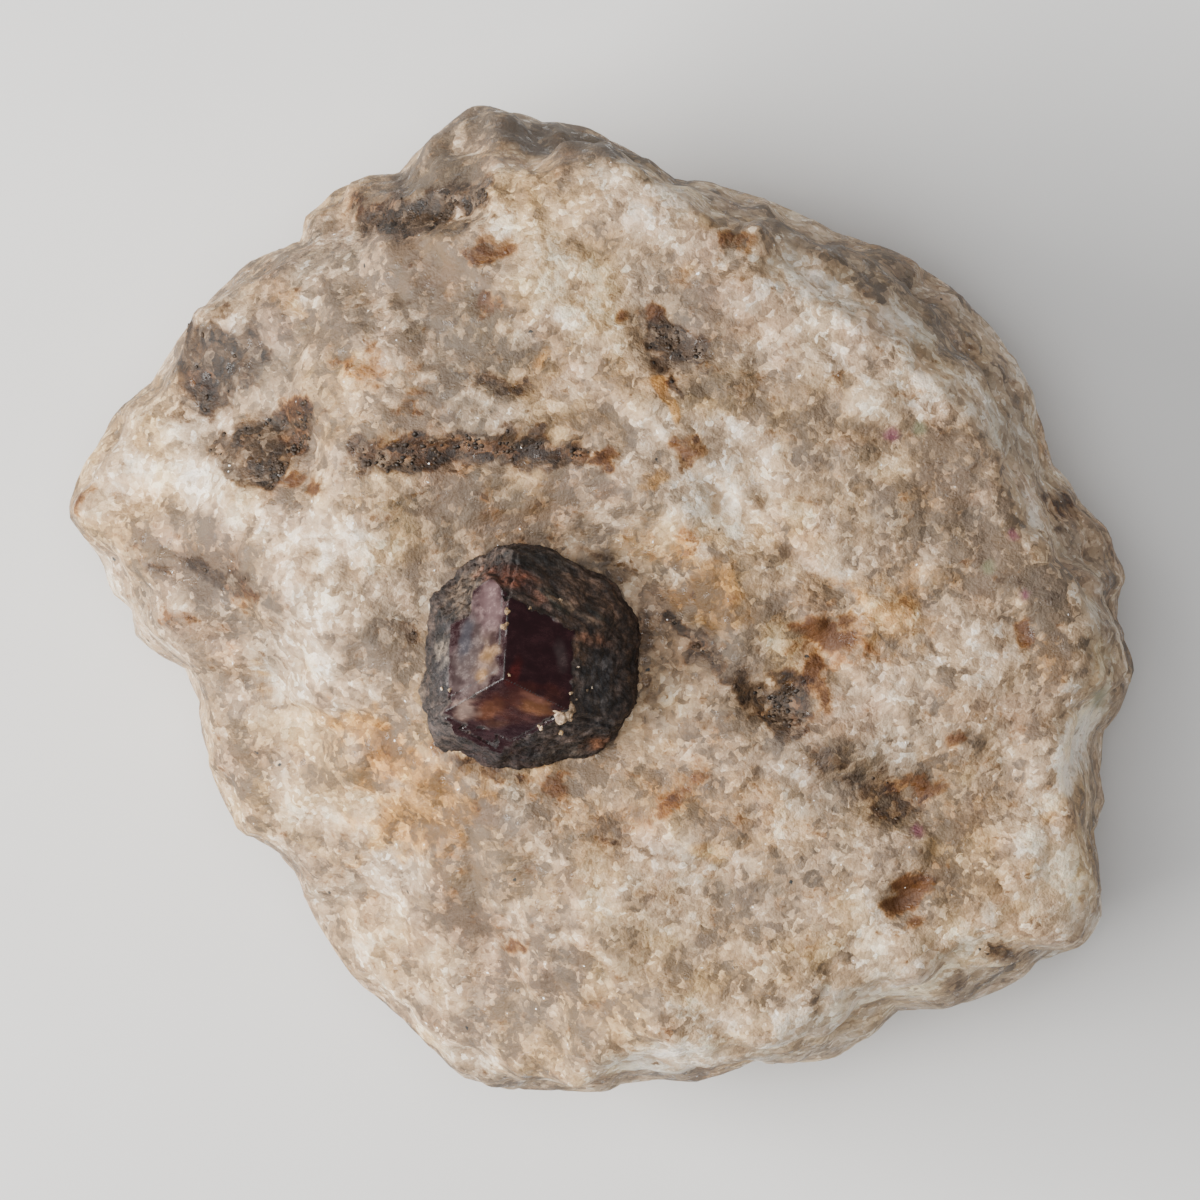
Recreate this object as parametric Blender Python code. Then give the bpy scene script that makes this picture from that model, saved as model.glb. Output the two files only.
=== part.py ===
"""Garnet in matrix: one garnet crystal seated in a broken lump of quartz and feldspar rock.

The lump lies on its broad back with the crystal up. +X runs along its longest side, +Z out of the
face that shows the crystal, and the origin is under its middle, at the level that it rests on.
Sizes below are in millimetres, and become metres when a mesh is made.
"""

import itertools
import math

import bmesh
import bpy
import numpy as np
from mathutils import Matrix, Vector

MM = 0.001
COLLECTION = "garnet in matrix"
CUTTERS = "cutters"

# ---- Rock: main sizes ----
HEART = np.array([0.0, 0.0, 18.0])  # a point that sees the whole skin of the rock
SKIN_SUBDIVISIONS = 6
SKIN_KEPT = 0.47  # share of the skin's faces kept once flat stretches are merged
EDGE_SHARPNESS = 60.0  # higher makes the ridges between fracture faces sharper
BROAD_TURN = 14.0  # degrees over which the outline is evened out above and below the girdle
UPPER_FROM = 17.0  # the upper side's lumps and ledges fade in over the next ten millimetres
SOCKET_GAP = 0.3  # clearance between the crystal and its socket

# The rock's edge seen from above, anticlockwise from +X.
OUTLINE = [
    (42.1, 0.0), (42.6, 1.6), (41.0, 6.0), (39.0, 7.7), (37.9, 9.7), (36.6, 11.0),
    (35.4, 15.0), (33.4, 19.5), (32.2, 21.4), (28.6, 25.4), (19.1, 29.8), (6.1, 34.1),
    (-1.1, 38.2), (-2.7, 38.7), (-4.6, 38.6), (-9.0, 39.9), (-10.5, 39.6), (-16.3, 34.5),
    (-18.7, 34.2), (-21.4, 33.0), (-23.9, 30.9), (-24.1, 29.1), (-28.3, 27.4), (-32.6, 23.0),
    (-36.3, 17.6), (-38.6, 15.8), (-41.7, 10.9), (-43.1, 6.9), (-40.6, 3.4), (-39.6, 0.5),
    (-38.2, -0.7), (-37.8, -2.8), (-36.6, -3.9), (-33.7, -5.6), (-32.7, -8.3), (-32.6, -9.9),
    (-29.4, -18.4), (-26.2, -20.6), (-24.8, -22.2), (-21.0, -29.0), (-19.5, -31.0), (-15.8, -33.9),
    (-11.0, -38.7), (-9.7, -39.1), (0.5, -39.9), (1.7, -39.4), (4.6, -39.1), (7.8, -39.2),
    (12.6, -37.3), (14.5, -37.0), (16.2, -37.4), (18.8, -37.0), (21.8, -35.4), (24.1, -33.1),
    (28.0, -32.9), (30.0, -32.4), (34.1, -30.6), (35.0, -29.4), (39.0, -27.9), (40.6, -25.7),
    (40.4, -20.8), (40.0, -18.8), (41.0, -16.3), (40.6, -14.1), (41.0, -10.8), (42.2, -9.0),
    (43.2, -5.7), (42.0, -1.8),
]

# Fracture faces of the upper side: a point on each, and the way it looks.
FRACTURES = [
    ((16, 4, 37.4), (0.05, 0.02, 1.0)),  # broad face right of the crystal
    ((6, -24, 36.2), (0.02, -0.13, 1.0)),  # broad face, near end
    ((4, 24, 36.6), (0.0, 0.15, 1.0)),  # broad face, far end
    ((-16, 4, 36.0), (-0.16, 0.05, 1.0)),  # broad face left of the crystal
    ((28, -14, 36.0), (0.18, -0.08, 1.0)),
    ((-22, 18, 33.8), (-0.30, 0.28, 1.0)),
    ((-3.0, 33.8, 34.3), (0.08, 0.90, 0.42)),  # far bevel
    ((19.5, 23.6, 34.6), (0.50, 0.64, 0.58)),  # long bevel at the far right
    ((31.0, 14.0, 34.0), (0.75, 0.42, 0.52)),
    ((37.0, 0.0, 33.4), (0.88, 0.05, 0.47)),
    ((38.6, -16.0, 33.0), (0.95, -0.05, 0.30)),
    ((31.0, -26.0, 33.0), (0.40, -0.75, 0.52)),  # bevel at the near right
    ((8.0, -35.5, 33.0), (0.05, -0.85, 0.50)),  # rounded near edge
    ((-13.5, -33.0, 31.5), (-0.55, -0.62, 0.55)),
    ((-20.2, -19.4, 34.0), (-0.69, -0.34, 0.62)),  # long bright bevel at the near left
    ((-23.3, 0.8, 34.4), (-0.57, -0.44, 0.70)),  # under the left point
    ((-23.3, 0.8, 34.4), (-0.58, 0.18, 0.79)),  # over the left point
    ((-27.0, 17.0, 31.6), (-0.52, 0.48, 0.70)),
    ((-14.0, 31.0, 33.2), (-0.30, 0.72, 0.62)),
]

# Sides: compass direction in degrees, level of the girdle there, and the upward part of the way
# that the face above it and the undercut face below it look.
SIDES = [
    (5, 13, 0.12, -0.95), (38, 17, 0.24, -0.80), (72, 15, 0.14, -1.10), (108, 19, 0.22, -0.85),
    (141, 14, 0.08, -1.05), (172, 17, 0.30, -0.90), (205, 12, 0.12, -0.80), (238, 16, 0.22, -1.00),
    (270, 13, 0.10, -0.90), (301, 17, 0.16, -1.15), (334, 12, 0.06, -0.85),
]

# Stepped-down corners: the drop, then the lines that bound each one as a point on the line, the
# way into the corner and the width of the slope there.
LEDGES = [
    (3.0, [(-9.6, 31.0, -1.0, 0.1, 1.6), (-14.0, 29.0, -0.1, 1.0, 1.1)]),
    (3.2, [(35.6, 6.0, 1.0, 0.2, 1.2), (36.0, 10.4, 0.1, -1.0, 1.6), (38.0, 2.8, 0.2, 1.0, 1.6)]),
    (0.8, [(-5.4, 21.4, -0.64, -0.77, 0.9), (-9.0, 17.0, 0.5, 0.86, 4.0), (-15.0, 22.0, 1.0, 0.0, 5.0)]),
    (0.7, [(20.0, -6.0, -0.74, -0.67, 1.6), (14.0, -2.0, 0.67, -0.74, 3.0), (26.0, -18.0, -0.5, 0.8, 8.0)]),
]

# Lumps (positive) and pits (negative): centre, half length, half width, turn in degrees, height.
MARKS = [
    (-13.9, 30.2, 5.2, 1.5, 6, -1.5),  # dark seam at the foot of the far left ledge
    (-29.1, 18.2, 3.4, 3.0, 50, -0.9),
    (-25.8, 12.0, 4.0, 3.0, 10, -0.9),
    (-8.7, 11.5, 9.8, 1.4, 2, -0.8),  # long seam beyond the crystal
    (5.0, 20.2, 3.3, 2.0, -35, -0.8),
    (8.0, -2.9, 4.6, 1.2, -34, -0.7),  # seam right of the crystal
    (13.4, -8.1, 2.6, 1.7, -20, -1.2),
    (18.0, -3.0, 2.8, 1.6, 30, -0.7),
    (22.6, -15.6, 4.0, 2.2, -25, -0.9),
    (23.9, -23.3, 1.8, 1.5, 40, -0.8),
    (32.6, -2.3, 2.0, 1.4, -40, -0.7),
    (-31.0, 2.2, 4.6, 1.2, -24, -0.9),  # streaks under the left point
    (-34.4, 2.6, 3.4, 1.0, -20, -0.7),
    (-30.6, -3.2, 2.4, 1.0, -30, -0.6),
    (21.5, 15.8, 2.4, 1.9, 0, 0.8),
    (-22.0, -3.0, 4.0, 5.5, 10, 0.9),  # bright swelling left of the crystal
    (-19.6, 26.8, 2.6, 1.6, 20, 0.8),
    (3.5, 30.0, 6.5, 2.6, 4, 0.9),
    (-6.0, 25.0, 2.4, 4.4, -25, 0.7),
    (12.0, 24.5, 4.4, 2.6, -20, 0.5),
    (15.0, 12.0, 6.0, 3.4, -15, 0.5),
    (29.5, -8.0, 4.2, 3.2, -30, 0.6),
    (35.0, -12.0, 2.4, 2.8, 0, 0.9),
    (33.0, -20.5, 3.6, 2.4, 10, 0.7),
    (5.5, -33.2, 4.2, 2.6, 80, 0.8),
    (-12.0, -27.0, 3.4, 5.0, 20, 0.6),
    (-20.0, -12.0, 3.0, 4.0, 25, 0.5),
    (8.0, -19.0, 5.0, 2.4, 10, 0.4),
    (-8.0, -20.0, 4.0, 3.0, 30, -0.4),
    (-14.0, 17.5, 4.0, 3.0, 0, -0.4),
    (22.0, 3.0, 4.0, 2.6, 15, -0.4),
]

LUMP_SIZES = [(13.0, 1.5, 11), (6.5, 0.9, 12), (3.2, 0.5, 13)]  # width of a lump, its height, salt
TOP_RELIEF = 0.55  # relief of the broad upper face, as a share of that of the sides and back

# ---- Crystal: main sizes ----
CRYSTAL_CENTRE = np.array([-5.5, -4.6, 34.7])
RHOMB_REACH = 8.55  # centre to each of the twelve rhombic faces
CAP_REACH = 10.1  # centre to the narrow faces nearest the three-fold axis
RING_REACH = 7.85  # centre to the narrow faces that ring it
BELT_REACH = 8.75  # centre to the narrow faces round the middle
CRYSTAL_TILT = 13.0  # lean of its three-fold axis from upright, degrees
TILT_TOWARDS = 215.0  # compass direction of the lean
FIRST_FACE = 150.0  # compass direction of the first of the three faces round the axis
REACH_SPREAD = 0.35  # how unevenly the faces grew
GROWTHS = [
    ((0.0, 0.0, 0.0), 1.0),  # the crystal itself, then the parallel growths that step its faces
    ((-0.55, 0.60, -0.10), 0.955),
    ((0.70, -0.10, -0.45), 0.950),
    ((-0.25, -0.75, -0.30), 0.960),
]


# ---- Small tools ----
def unit(rows):
    """Each row as a direction of length one."""
    rows = np.asarray(rows, float)
    return rows / np.linalg.norm(rows, axis=-1, keepdims=True)


def smooth_step(x, low, high):
    """0 below low, 1 above high, and an even curve between."""
    t = np.clip((x - low) / (high - low), 0.0, 1.0)
    return t * t * (3.0 - 2.0 * t)


def scattered(cells, salt):
    """A repeatable number from 0 to 1 for each row of three whole numbers."""
    key = cells[..., 0] * 73856093 ^ cells[..., 1] * 19349663 ^ cells[..., 2] * 83492791
    key = (key ^ salt * 40503) & 0x7FFFFFFF
    key = ((key ^ (key >> 15)) * 1103515245) & 0x7FFFFFFF
    key = ((key ^ (key >> 13)) * 12820163) & 0x7FFFFFFF
    return ((key ^ (key >> 16)) & 0xFFFFFF) / float(0xFFFFFF)


def chips(points, size, salt):
    """Height of broken grains: the highest, at each point, of the tilted domes of the seeds nearby."""
    grid = points / size
    base = np.floor(grid).astype(np.int64)
    height = np.full(len(points), -9.0)
    for step in itertools.product((-1, 0, 1), repeat=3):
        cell = base + np.array(step)
        jitter = np.stack([scattered(cell, salt + k) for k in (1, 2, 3)], axis=-1)
        away = grid - (cell + 0.15 + 0.7 * jitter)
        tilt = np.stack([scattered(cell, salt + k) for k in (4, 5, 6)], axis=-1) - 0.5
        dome = scattered(cell, salt + 7) + 1.6 * (away * tilt).sum(axis=1) - 1.6 * (away**2).sum(axis=1)
        height = np.maximum(height, dome)
    return height - 0.35


# ---- The rock's skin ----
def outline_radius(angle):
    """Distance from the middle to the edge of the outline in each compass direction."""
    x, y = np.array(OUTLINE).T
    at = np.arctan2(y, x) % (2 * math.pi)
    order = np.argsort(at)
    return np.interp(angle % (2 * math.pi), at[order], np.hypot(x, y)[order], period=2 * math.pi)


def broad_radius(angle):
    """The same distance with the outline's small bumps and notches evened out."""
    turns = np.radians(np.linspace(-BROAD_TURN, BROAD_TURN, 9))
    return sum(outline_radius(angle + turn) for turn in turns) / len(turns)


def side_planes():
    """Points on, and directions of, the steep faces and the undercut faces below them."""
    points, ways = [], []
    for degrees, level, lean_up, lean_down in SIDES:
        angle = math.radians(degrees)
        across = np.array([math.cos(angle), math.sin(angle), 0.0])
        girdle = across * (broad_radius(np.array([angle]))[0] - 0.8) + [0.0, 0.0, level]
        points += [girdle, girdle - [0.0, 0.0, 3.0]]
        ways += [across + [0.0, 0.0, lean_up], across + [0.0, 0.0, lean_down]]
    return points, ways


def block_planes():
    """Every plane of the broken block: distance from the heart, and direction."""
    points, ways = side_planes()
    points += [np.array(point, float) for point, _ in FRACTURES]
    ways += [np.array(way, float) for _, way in FRACTURES]
    points.append(np.array([0.0, 0.0, -2.0]))
    ways.append(np.array([0.0, 0.0, -1.0]))
    ways = unit(ways)
    return ((np.array(points) - HEART) * ways).sum(axis=1), ways


def rough_block(directions):
    """Points of the block in each direction: rounded ridges between its faces, then the lumps."""
    reach, ways = block_planes()
    facing = np.maximum(directions @ ways.T, 1e-4)
    nearness = ((facing / reach) ** EDGE_SHARPNESS).sum(axis=1)
    distance = nearness ** (-1.0 / EDGE_SHARPNESS)
    points = HEART + directions * distance[:, None]
    relief = sum(height * chips(points, cell, salt) for cell, height, salt in LUMP_SIZES)
    on_top = smooth_step(directions[:, 2], 0.35, 0.60)
    distance = distance + relief * (1.0 - (1.0 - TOP_RELIEF) * on_top)
    return HEART + directions * distance[:, None]


def block_width(angle):
    """The rough block's greatest width in each compass direction."""
    turn = np.linspace(-math.pi, math.pi, 360, endpoint=False)
    rise = np.radians(np.linspace(-40, 50, 70))
    probe = np.stack(
        [
            np.outer(np.cos(turn), np.cos(rise)),
            np.outer(np.sin(turn), np.cos(rise)),
            np.tile(np.sin(rise), (len(turn), 1)),
        ],
        axis=-1,
    )
    found = rough_block(probe.reshape(-1, 3))
    width = np.hypot(found[:, 0], found[:, 1]).reshape(len(turn), -1).max(axis=1)
    return np.interp(angle, turn, width, period=2 * math.pi)


def fitted_to_outline(points):
    """Moves the outer half of the block sideways until its edge follows the outline."""
    out = np.hypot(points[:, 0], points[:, 1])
    angle = np.arctan2(points[:, 1], points[:, 0])
    width = block_width(angle)
    edge = smooth_step(out / width, 0.90, 0.99)
    wanted = broad_radius(angle) * (1.0 - edge) + outline_radius(angle) * edge
    scale = 1.0 + (wanted / width - 1.0) * smooth_step(out / width, 0.45, 0.95)
    return points * np.stack([scale, scale, np.ones_like(scale)], axis=-1)


def ledge_drop(x, y):
    """How far the stepped corners lower the upper side at each place."""
    drop = np.zeros_like(x)
    for depth, lines in LEDGES:
        inside = np.ones_like(x)
        for px, py, nx, ny, slope in lines:
            beyond = (x - px) * nx + (y - py) * ny
            inside = inside * smooth_step(beyond / math.hypot(nx, ny), -slope / 2, slope / 2)
        drop = drop + depth * inside
    return drop


def mark_height(x, y):
    """Height of the named lumps and pits on the upper side."""
    height = np.zeros_like(x)
    for cx, cy, long, short, degrees, rise in MARKS:
        turn = math.radians(degrees)
        along = ((x - cx) * math.cos(turn) + (y - cy) * math.sin(turn)) / long
        across = ((y - cy) * math.cos(turn) - (x - cx) * math.sin(turn)) / short
        height = height + rise * np.exp(-1.2 * (along**2 + across**2) ** 1.5)
    return height


def rock_skin(directions):
    """Points of the rock's skin in each direction from its heart."""
    points = fitted_to_outline(rough_block(directions))
    x, y, z = points.T
    upper = smooth_step(z, UPPER_FROM, UPPER_FROM + 10.0)
    points[:, 2] = z + upper * (mark_height(x, y) - ledge_drop(x, y))
    return points


# ---- The crystal's faces ----
def crystal_frame():
    """Rows are the crystal's own cube axes, turned so that its three-fold axis leans as grown."""
    axis = unit([1.0, 1.0, 1.0])
    first = np.array([1.0, 1.0, 0.0])
    first = unit(first - axis * (first @ axis))
    own = np.stack([first, np.cross(axis, first), axis])
    start = math.radians(FIRST_FACE)
    ahead = np.array([math.cos(start), math.sin(start), 0.0])
    upright = np.stack([ahead, np.cross([0.0, 0.0, 1.0], ahead), [0.0, 0.0, 1.0]])
    towards = math.radians(TILT_TOWARDS)
    hinge = Vector((-math.sin(towards), math.cos(towards), 0.0))
    lean = np.array(Matrix.Rotation(math.radians(CRYSTAL_TILT), 3, hinge))
    return lean @ upright.T @ own


def crystal_faces():
    """Directions of the thirty-six faces, and how far each one grew from the centre."""
    rhombs = [w for w in itertools.product((-1, 0, 1), repeat=3) if np.abs(w).sum() == 2]
    trapezoids = [
        w for w in itertools.product((-2, -1, 1, 2), repeat=3) if sorted(np.abs(w)) == [1, 1, 2]
    ]
    lean = [abs(sum(w)) for w in trapezoids]  # 4 by the axis, 2 in the ring, 0 round the middle
    grown = {4: CAP_REACH, 2: RING_REACH, 0: BELT_REACH}
    ways = unit(np.array(rhombs + trapezoids, float)) @ crystal_frame().T
    reach = np.array([RHOMB_REACH] * len(rhombs) + [grown[k] for k in lean])
    cells = np.round(ways * 50).astype(np.int64)
    return ways, reach + REACH_SPREAD * (scattered(cells, 5) - 0.5)


def crystal_growth(ways, reach, shift, size, grown):
    """One closed block bounded by the faces, as a bmesh: a cube cut by each face in turn."""
    block = bmesh.new()
    bmesh.ops.create_cube(block, size=4 * RHOMB_REACH * MM)
    for way, distance in zip(ways, reach):
        at = Vector(way) * (distance * size + grown) * MM
        everything = block.verts[:] + block.edges[:] + block.faces[:]
        cut = bmesh.ops.bisect_plane(block, geom=everything, plane_co=at, plane_no=way, clear_outer=True)
        rim = [item for item in cut["geom_cut"] if isinstance(item, bmesh.types.BMEdge)]
        if rim:
            bmesh.ops.contextual_create(block, geom=rim)
    bmesh.ops.translate(block, verts=block.verts, vec=Vector(CRYSTAL_CENTRE + shift) * MM)
    bmesh.ops.recalc_face_normals(block, faces=block.faces)
    return block


# ---- Blender objects ----
def clear_scene():
    """Removes whatever is in the scene."""
    for thing in list(bpy.data.objects):
        bpy.data.objects.remove(thing, do_unlink=True)


def new_collection(name):
    """A collection in the scene."""
    group = bpy.data.collections.new(name)
    bpy.context.scene.collection.children.link(group)
    return group


def new_object(name, shape, group):
    """An object made from a bmesh, in a collection."""
    mesh = bpy.data.meshes.new(name)
    shape.to_mesh(mesh)
    shape.free()
    thing = bpy.data.objects.new(name, mesh)
    group.objects.link(thing)
    return thing


def material(name, colour, roughness):
    """A plain Principled material."""
    made = bpy.data.materials.new(name)
    made.use_nodes = True
    shader = made.node_tree.nodes["Principled BSDF"]
    shader.inputs["Base Color"].default_value = (*colour, 1.0)
    shader.inputs["Roughness"].default_value = roughness
    shader.inputs["Metallic"].default_value = 0.0
    return made


def boolean(thing, operation, other):
    """A live exact Boolean on an object."""
    step = thing.modifiers.new(f"{operation.lower()} {other.name}", "BOOLEAN")
    step.operation = operation
    step.object = other
    step.solver = "EXACT"


def as_tool(thing):
    """Marks an object as a tool of the Booleans, not a piece."""
    thing.hide_render = True
    thing.display_type = "WIRE"


def add_crystal(name, grown, group, tools):
    """The crystal with its parallel growths joined, each face moved out by grown millimetres."""
    ways, reach = crystal_faces()
    blocks = [
        crystal_growth(ways, reach, np.array(shift), size, grown) for shift, size in GROWTHS
    ]
    crystal = new_object(name, blocks[0], group)
    for number, block in enumerate(blocks[1:], start=1):
        growth = new_object(f"{name} growth {number}", block, tools)
        as_tool(growth)
        boolean(crystal, "UNION", growth)
    return crystal


def add_ground(tools):
    """A block under the resting level, which cuts the rock's back flat."""
    block = bmesh.new()
    bmesh.ops.create_cube(block, size=1.0)
    bmesh.ops.scale(block, vec=Vector((120, 120, 20)) * MM, verts=block.verts)
    bmesh.ops.translate(block, vec=Vector((0, 0, -10)) * MM, verts=block.verts)
    ground = new_object("ground", block, tools)
    as_tool(ground)
    return ground


def add_rock(group, tools):
    """The lump of rock: a fine ball drawn out to the fracture faces, cut flat, with a socket."""
    ball = bmesh.new()
    bmesh.ops.create_icosphere(ball, subdivisions=SKIN_SUBDIVISIONS, radius=1.0)
    directions = unit([vertex.co for vertex in ball.verts])
    for vertex, point in zip(ball.verts, rock_skin(directions)):
        vertex.co = Vector(point) * MM
    rock = new_object("matrix", ball, group)
    thinned = rock.modifiers.new("merge flat stretches", "DECIMATE")
    thinned.ratio = SKIN_KEPT
    boolean(rock, "DIFFERENCE", add_ground(tools))
    socket = add_crystal("socket", SOCKET_GAP, tools, tools)
    as_tool(socket)
    boolean(rock, "DIFFERENCE", socket)
    rock.data.materials.append(material("pale sugary rock", (0.52, 0.45, 0.36), 0.7))
    return rock


def main():
    """Builds both pieces."""
    clear_scene()
    group = new_collection(COLLECTION)
    tools = new_collection(CUTTERS)
    add_rock(group, tools)
    garnet = add_crystal("garnet", 0.0, group, tools)
    garnet.data.materials.append(material("dark red garnet", (0.06, 0.008, 0.012), 0.15))


main()
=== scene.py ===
"""Looks of a garnet in matrix: the sugary rock, its grains and mica flakes, and the crystal.

Geometry is worked out in millimetres, in the model's own frame, and becomes metres when a mesh is made.
"""

import itertools
import math

import bpy
import numpy as np
from bpy.props import FloatProperty, FloatVectorProperty, PointerProperty
from mathutils import Matrix, Vector


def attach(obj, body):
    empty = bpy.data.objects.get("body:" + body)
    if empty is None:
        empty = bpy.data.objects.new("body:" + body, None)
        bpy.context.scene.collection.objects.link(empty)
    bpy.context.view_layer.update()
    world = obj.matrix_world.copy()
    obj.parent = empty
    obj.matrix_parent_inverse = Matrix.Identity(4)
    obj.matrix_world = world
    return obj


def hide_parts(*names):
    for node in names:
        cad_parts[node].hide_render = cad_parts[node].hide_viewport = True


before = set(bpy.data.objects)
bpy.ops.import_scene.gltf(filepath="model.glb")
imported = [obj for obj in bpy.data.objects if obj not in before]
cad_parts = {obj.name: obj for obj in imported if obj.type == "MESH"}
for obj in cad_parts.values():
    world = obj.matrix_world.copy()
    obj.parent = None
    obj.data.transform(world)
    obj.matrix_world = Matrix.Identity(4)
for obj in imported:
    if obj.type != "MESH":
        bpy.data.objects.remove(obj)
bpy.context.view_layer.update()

bl_info = {
    "name": "Garnet in matrix",
    "version": (1, 0, 0),
    "blender": (4, 5, 0),
    "location": "3D View > Sidebar > Garnet",
    "description": "Dresses a garnet crystal and the broken rock that it sits in",
    "category": "Object",
}

MM = 0.001

# ---- Rock: main form ----
HEART = np.array([0.0, 0.0, 18.0])  # the point that the rock's skin is measured from
EDGE_SHARPNESS = 60.0  # of the ridges between the block's faces
BROAD_TURN = 14.0  # degrees to each side over which the broad outline is evened out
GIRDLE_INSET = 0.8  # how far the side faces stand inside the broad outline
UNDERCUT_DROP = 3.0  # how far below the girdle the undercut faces begin
UPPER_FROM, UPPER_DEPTH = 17.0, 10.0  # level where ledges and marks begin, and where they are in full
TOP_RELIEF = 0.55  # share of the lumps' height that the upper side keeps

# The rock's edge from straight above: x and y.
OUTLINE = [
    (42.1, 0), (42.6, 1.6), (41, 6), (39, 7.7), (37.9, 9.7), (36.6, 11), (35.4, 15), (33.4, 19.5),
    (32.2, 21.4), (28.6, 25.4), (19.1, 29.8), (6.1, 34.1), (-1.1, 38.2), (-2.7, 38.7), (-4.6, 38.6),
    (-9, 39.9), (-10.5, 39.6), (-16.3, 34.5), (-18.7, 34.2), (-21.4, 33), (-23.9, 30.9), (-24.1, 29.1),
    (-28.3, 27.4), (-32.6, 23), (-36.3, 17.6), (-38.6, 15.8), (-41.7, 10.9), (-43.1, 6.9), (-40.6, 3.4),
    (-39.6, 0.5), (-38.2, -0.7), (-37.8, -2.8), (-36.6, -3.9), (-33.7, -5.6), (-32.7, -8.3),
    (-32.6, -9.9), (-29.4, -18.4), (-26.2, -20.6), (-24.8, -22.2), (-21, -29), (-19.5, -31),
    (-15.8, -33.9), (-11, -38.7), (-9.7, -39.1), (0.5, -39.9), (1.7, -39.4), (4.6, -39.1), (7.8, -39.2),
    (12.6, -37.3), (14.5, -37), (16.2, -37.4), (18.8, -37), (21.8, -35.4), (24.1, -33.1), (28, -32.9),
    (30, -32.4), (34.1, -30.6), (35, -29.4), (39, -27.9), (40.6, -25.7), (40.4, -20.8), (40, -18.8),
    (41, -16.3), (40.6, -14.1), (41, -10.8), (42.2, -9), (43.2, -5.7), (42, -1.8),
]

# Broken faces of the upper side: a point on each, and its direction.
FRACTURES = [
    ((16, 4, 37.4), (0.05, 0.02, 1.0)),
    ((6, -24, 36.2), (0.02, -0.13, 1.0)),
    ((4, 24, 36.6), (0.0, 0.15, 1.0)),
    ((-16, 4, 36.0), (-0.16, 0.05, 1.0)),
    ((28, -14, 36.0), (0.18, -0.08, 1.0)),
    ((-22, 18, 33.8), (-0.30, 0.28, 1.0)),
    ((-3.0, 33.8, 34.3), (0.08, 0.90, 0.42)),
    ((19.5, 23.6, 34.6), (0.50, 0.64, 0.58)),
    ((31.0, 14.0, 34.0), (0.75, 0.42, 0.52)),
    ((37.0, 0.0, 33.4), (0.88, 0.05, 0.47)),
    ((38.6, -16.0, 33.0), (0.95, -0.05, 0.30)),
    ((31.0, -26.0, 33.0), (0.40, -0.75, 0.52)),
    ((8.0, -35.5, 33.0), (0.05, -0.85, 0.50)),
    ((-13.5, -33.0, 31.5), (-0.55, -0.62, 0.55)),
    ((-20.2, -19.4, 34.0), (-0.69, -0.34, 0.62)),
    ((-23.3, 0.8, 34.4), (-0.57, -0.44, 0.70)),
    ((-23.3, 0.8, 34.4), (-0.58, 0.18, 0.79)),
    ((-27.0, 17.0, 31.6), (-0.52, 0.48, 0.70)),
    ((-14.0, 31.0, 33.2), (-0.30, 0.72, 0.62)),
]

# Side faces: compass angle, level of the girdle, and lean above and below it.
SIDES = [
    (5, 13, 0.12, -0.95), (38, 17, 0.24, -0.8), (72, 15, 0.14, -1.1), (108, 19, 0.22, -0.85),
    (141, 14, 0.08, -1.05), (172, 17, 0.3, -0.9), (205, 12, 0.12, -0.8), (238, 16, 0.22, -1),
    (270, 13, 0.1, -0.9), (301, 17, 0.16, -1.15), (334, 12, 0.06, -0.85),
]

# Stepped corners: depth, and the lines that bound it, each a point, a direction and a slope's width.
LEDGES = [
    (2.8, [(-9.6, 31.0, -1.0, 0.1, 2.6), (-14.0, 29.4, -0.1, 1.0, 2.2)]),
    (3.2, [(35.6, 6.0, 1.0, 0.2, 1.2), (36.0, 10.4, 0.1, -1.0, 1.6), (38.0, 2.8, 0.2, 1.0, 1.6)]),
    (0.8, [(-5.4, 21.4, -0.64, -0.77, 0.9), (-9.0, 17.0, 0.5, 0.86, 4.0), (-15.0, 22.0, 1.0, 0.0, 5.0)]),
    (0.7, [(20, -6, -0.74, -0.67, 1.6), (14, -2, 0.67, -0.74, 3), (26, -18, -0.5, 0.8, 8)]),
]

# Lumps and pits on the upper side: centre, half length, half width, turn in degrees, height.
MARKS = [
    (-13.9, 30.2, 5.2, 1.5, 6, -1.5), (-29.1, 18.2, 3.4, 3, 50, -0.9), (-25.8, 12, 4, 3, 10, -0.9),
    (-8.7, 11.5, 9.8, 1.4, 2, -0.8), (5, 20.2, 3.3, 2, -35, -0.8), (8, -2.9, 4.6, 1.2, -34, -0.7),
    (13.4, -8.1, 2.6, 1.7, -20, -1.2), (18, -3, 2.8, 1.6, 30, -0.7), (22.6, -15.6, 4, 2.2, -25, -0.9),
    (23.9, -23.3, 1.8, 1.5, 40, -0.8), (32.6, -2.3, 2, 1.4, -40, -0.7), (-31, 2.2, 4.6, 1.2, -24, -0.9),
    (-34.4, 2.6, 3.4, 1, -20, -0.7), (-30.6, -3.2, 2.4, 1, -30, -0.6), (21.5, 15.8, 2.4, 1.9, 0, 0.8),
    (-22, -3, 4, 5.5, 10, 0.9), (-19.6, 26.8, 2.6, 1.6, 20, 0.8), (3.5, 30, 6.5, 2.6, 4, 0.9),
    (-6, 25, 2.4, 4.4, -25, 0.7), (12, 24.5, 4.4, 2.6, -20, 0.5), (15, 12, 6, 3.4, -15, 0.5),
    (29.5, -8, 4.2, 3.2, -30, 0.6), (35, -12, 2.4, 2.8, 0, 0.9), (33, -20.5, 3.6, 2.4, 10, 0.7),
    (5.5, -33.2, 4.2, 2.6, 80, 0.8), (-12, -27, 3.4, 5, 20, 0.6), (-20, -12, 3, 4, 25, 0.5),
    (8, -19, 5, 2.4, 10, 0.4), (-8, -20, 4, 3, 30, -0.4), (-14, 17.5, 4, 3, 0, -0.4),
    (22, 3, 4, 2.6, 15, -0.4),
]

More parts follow.
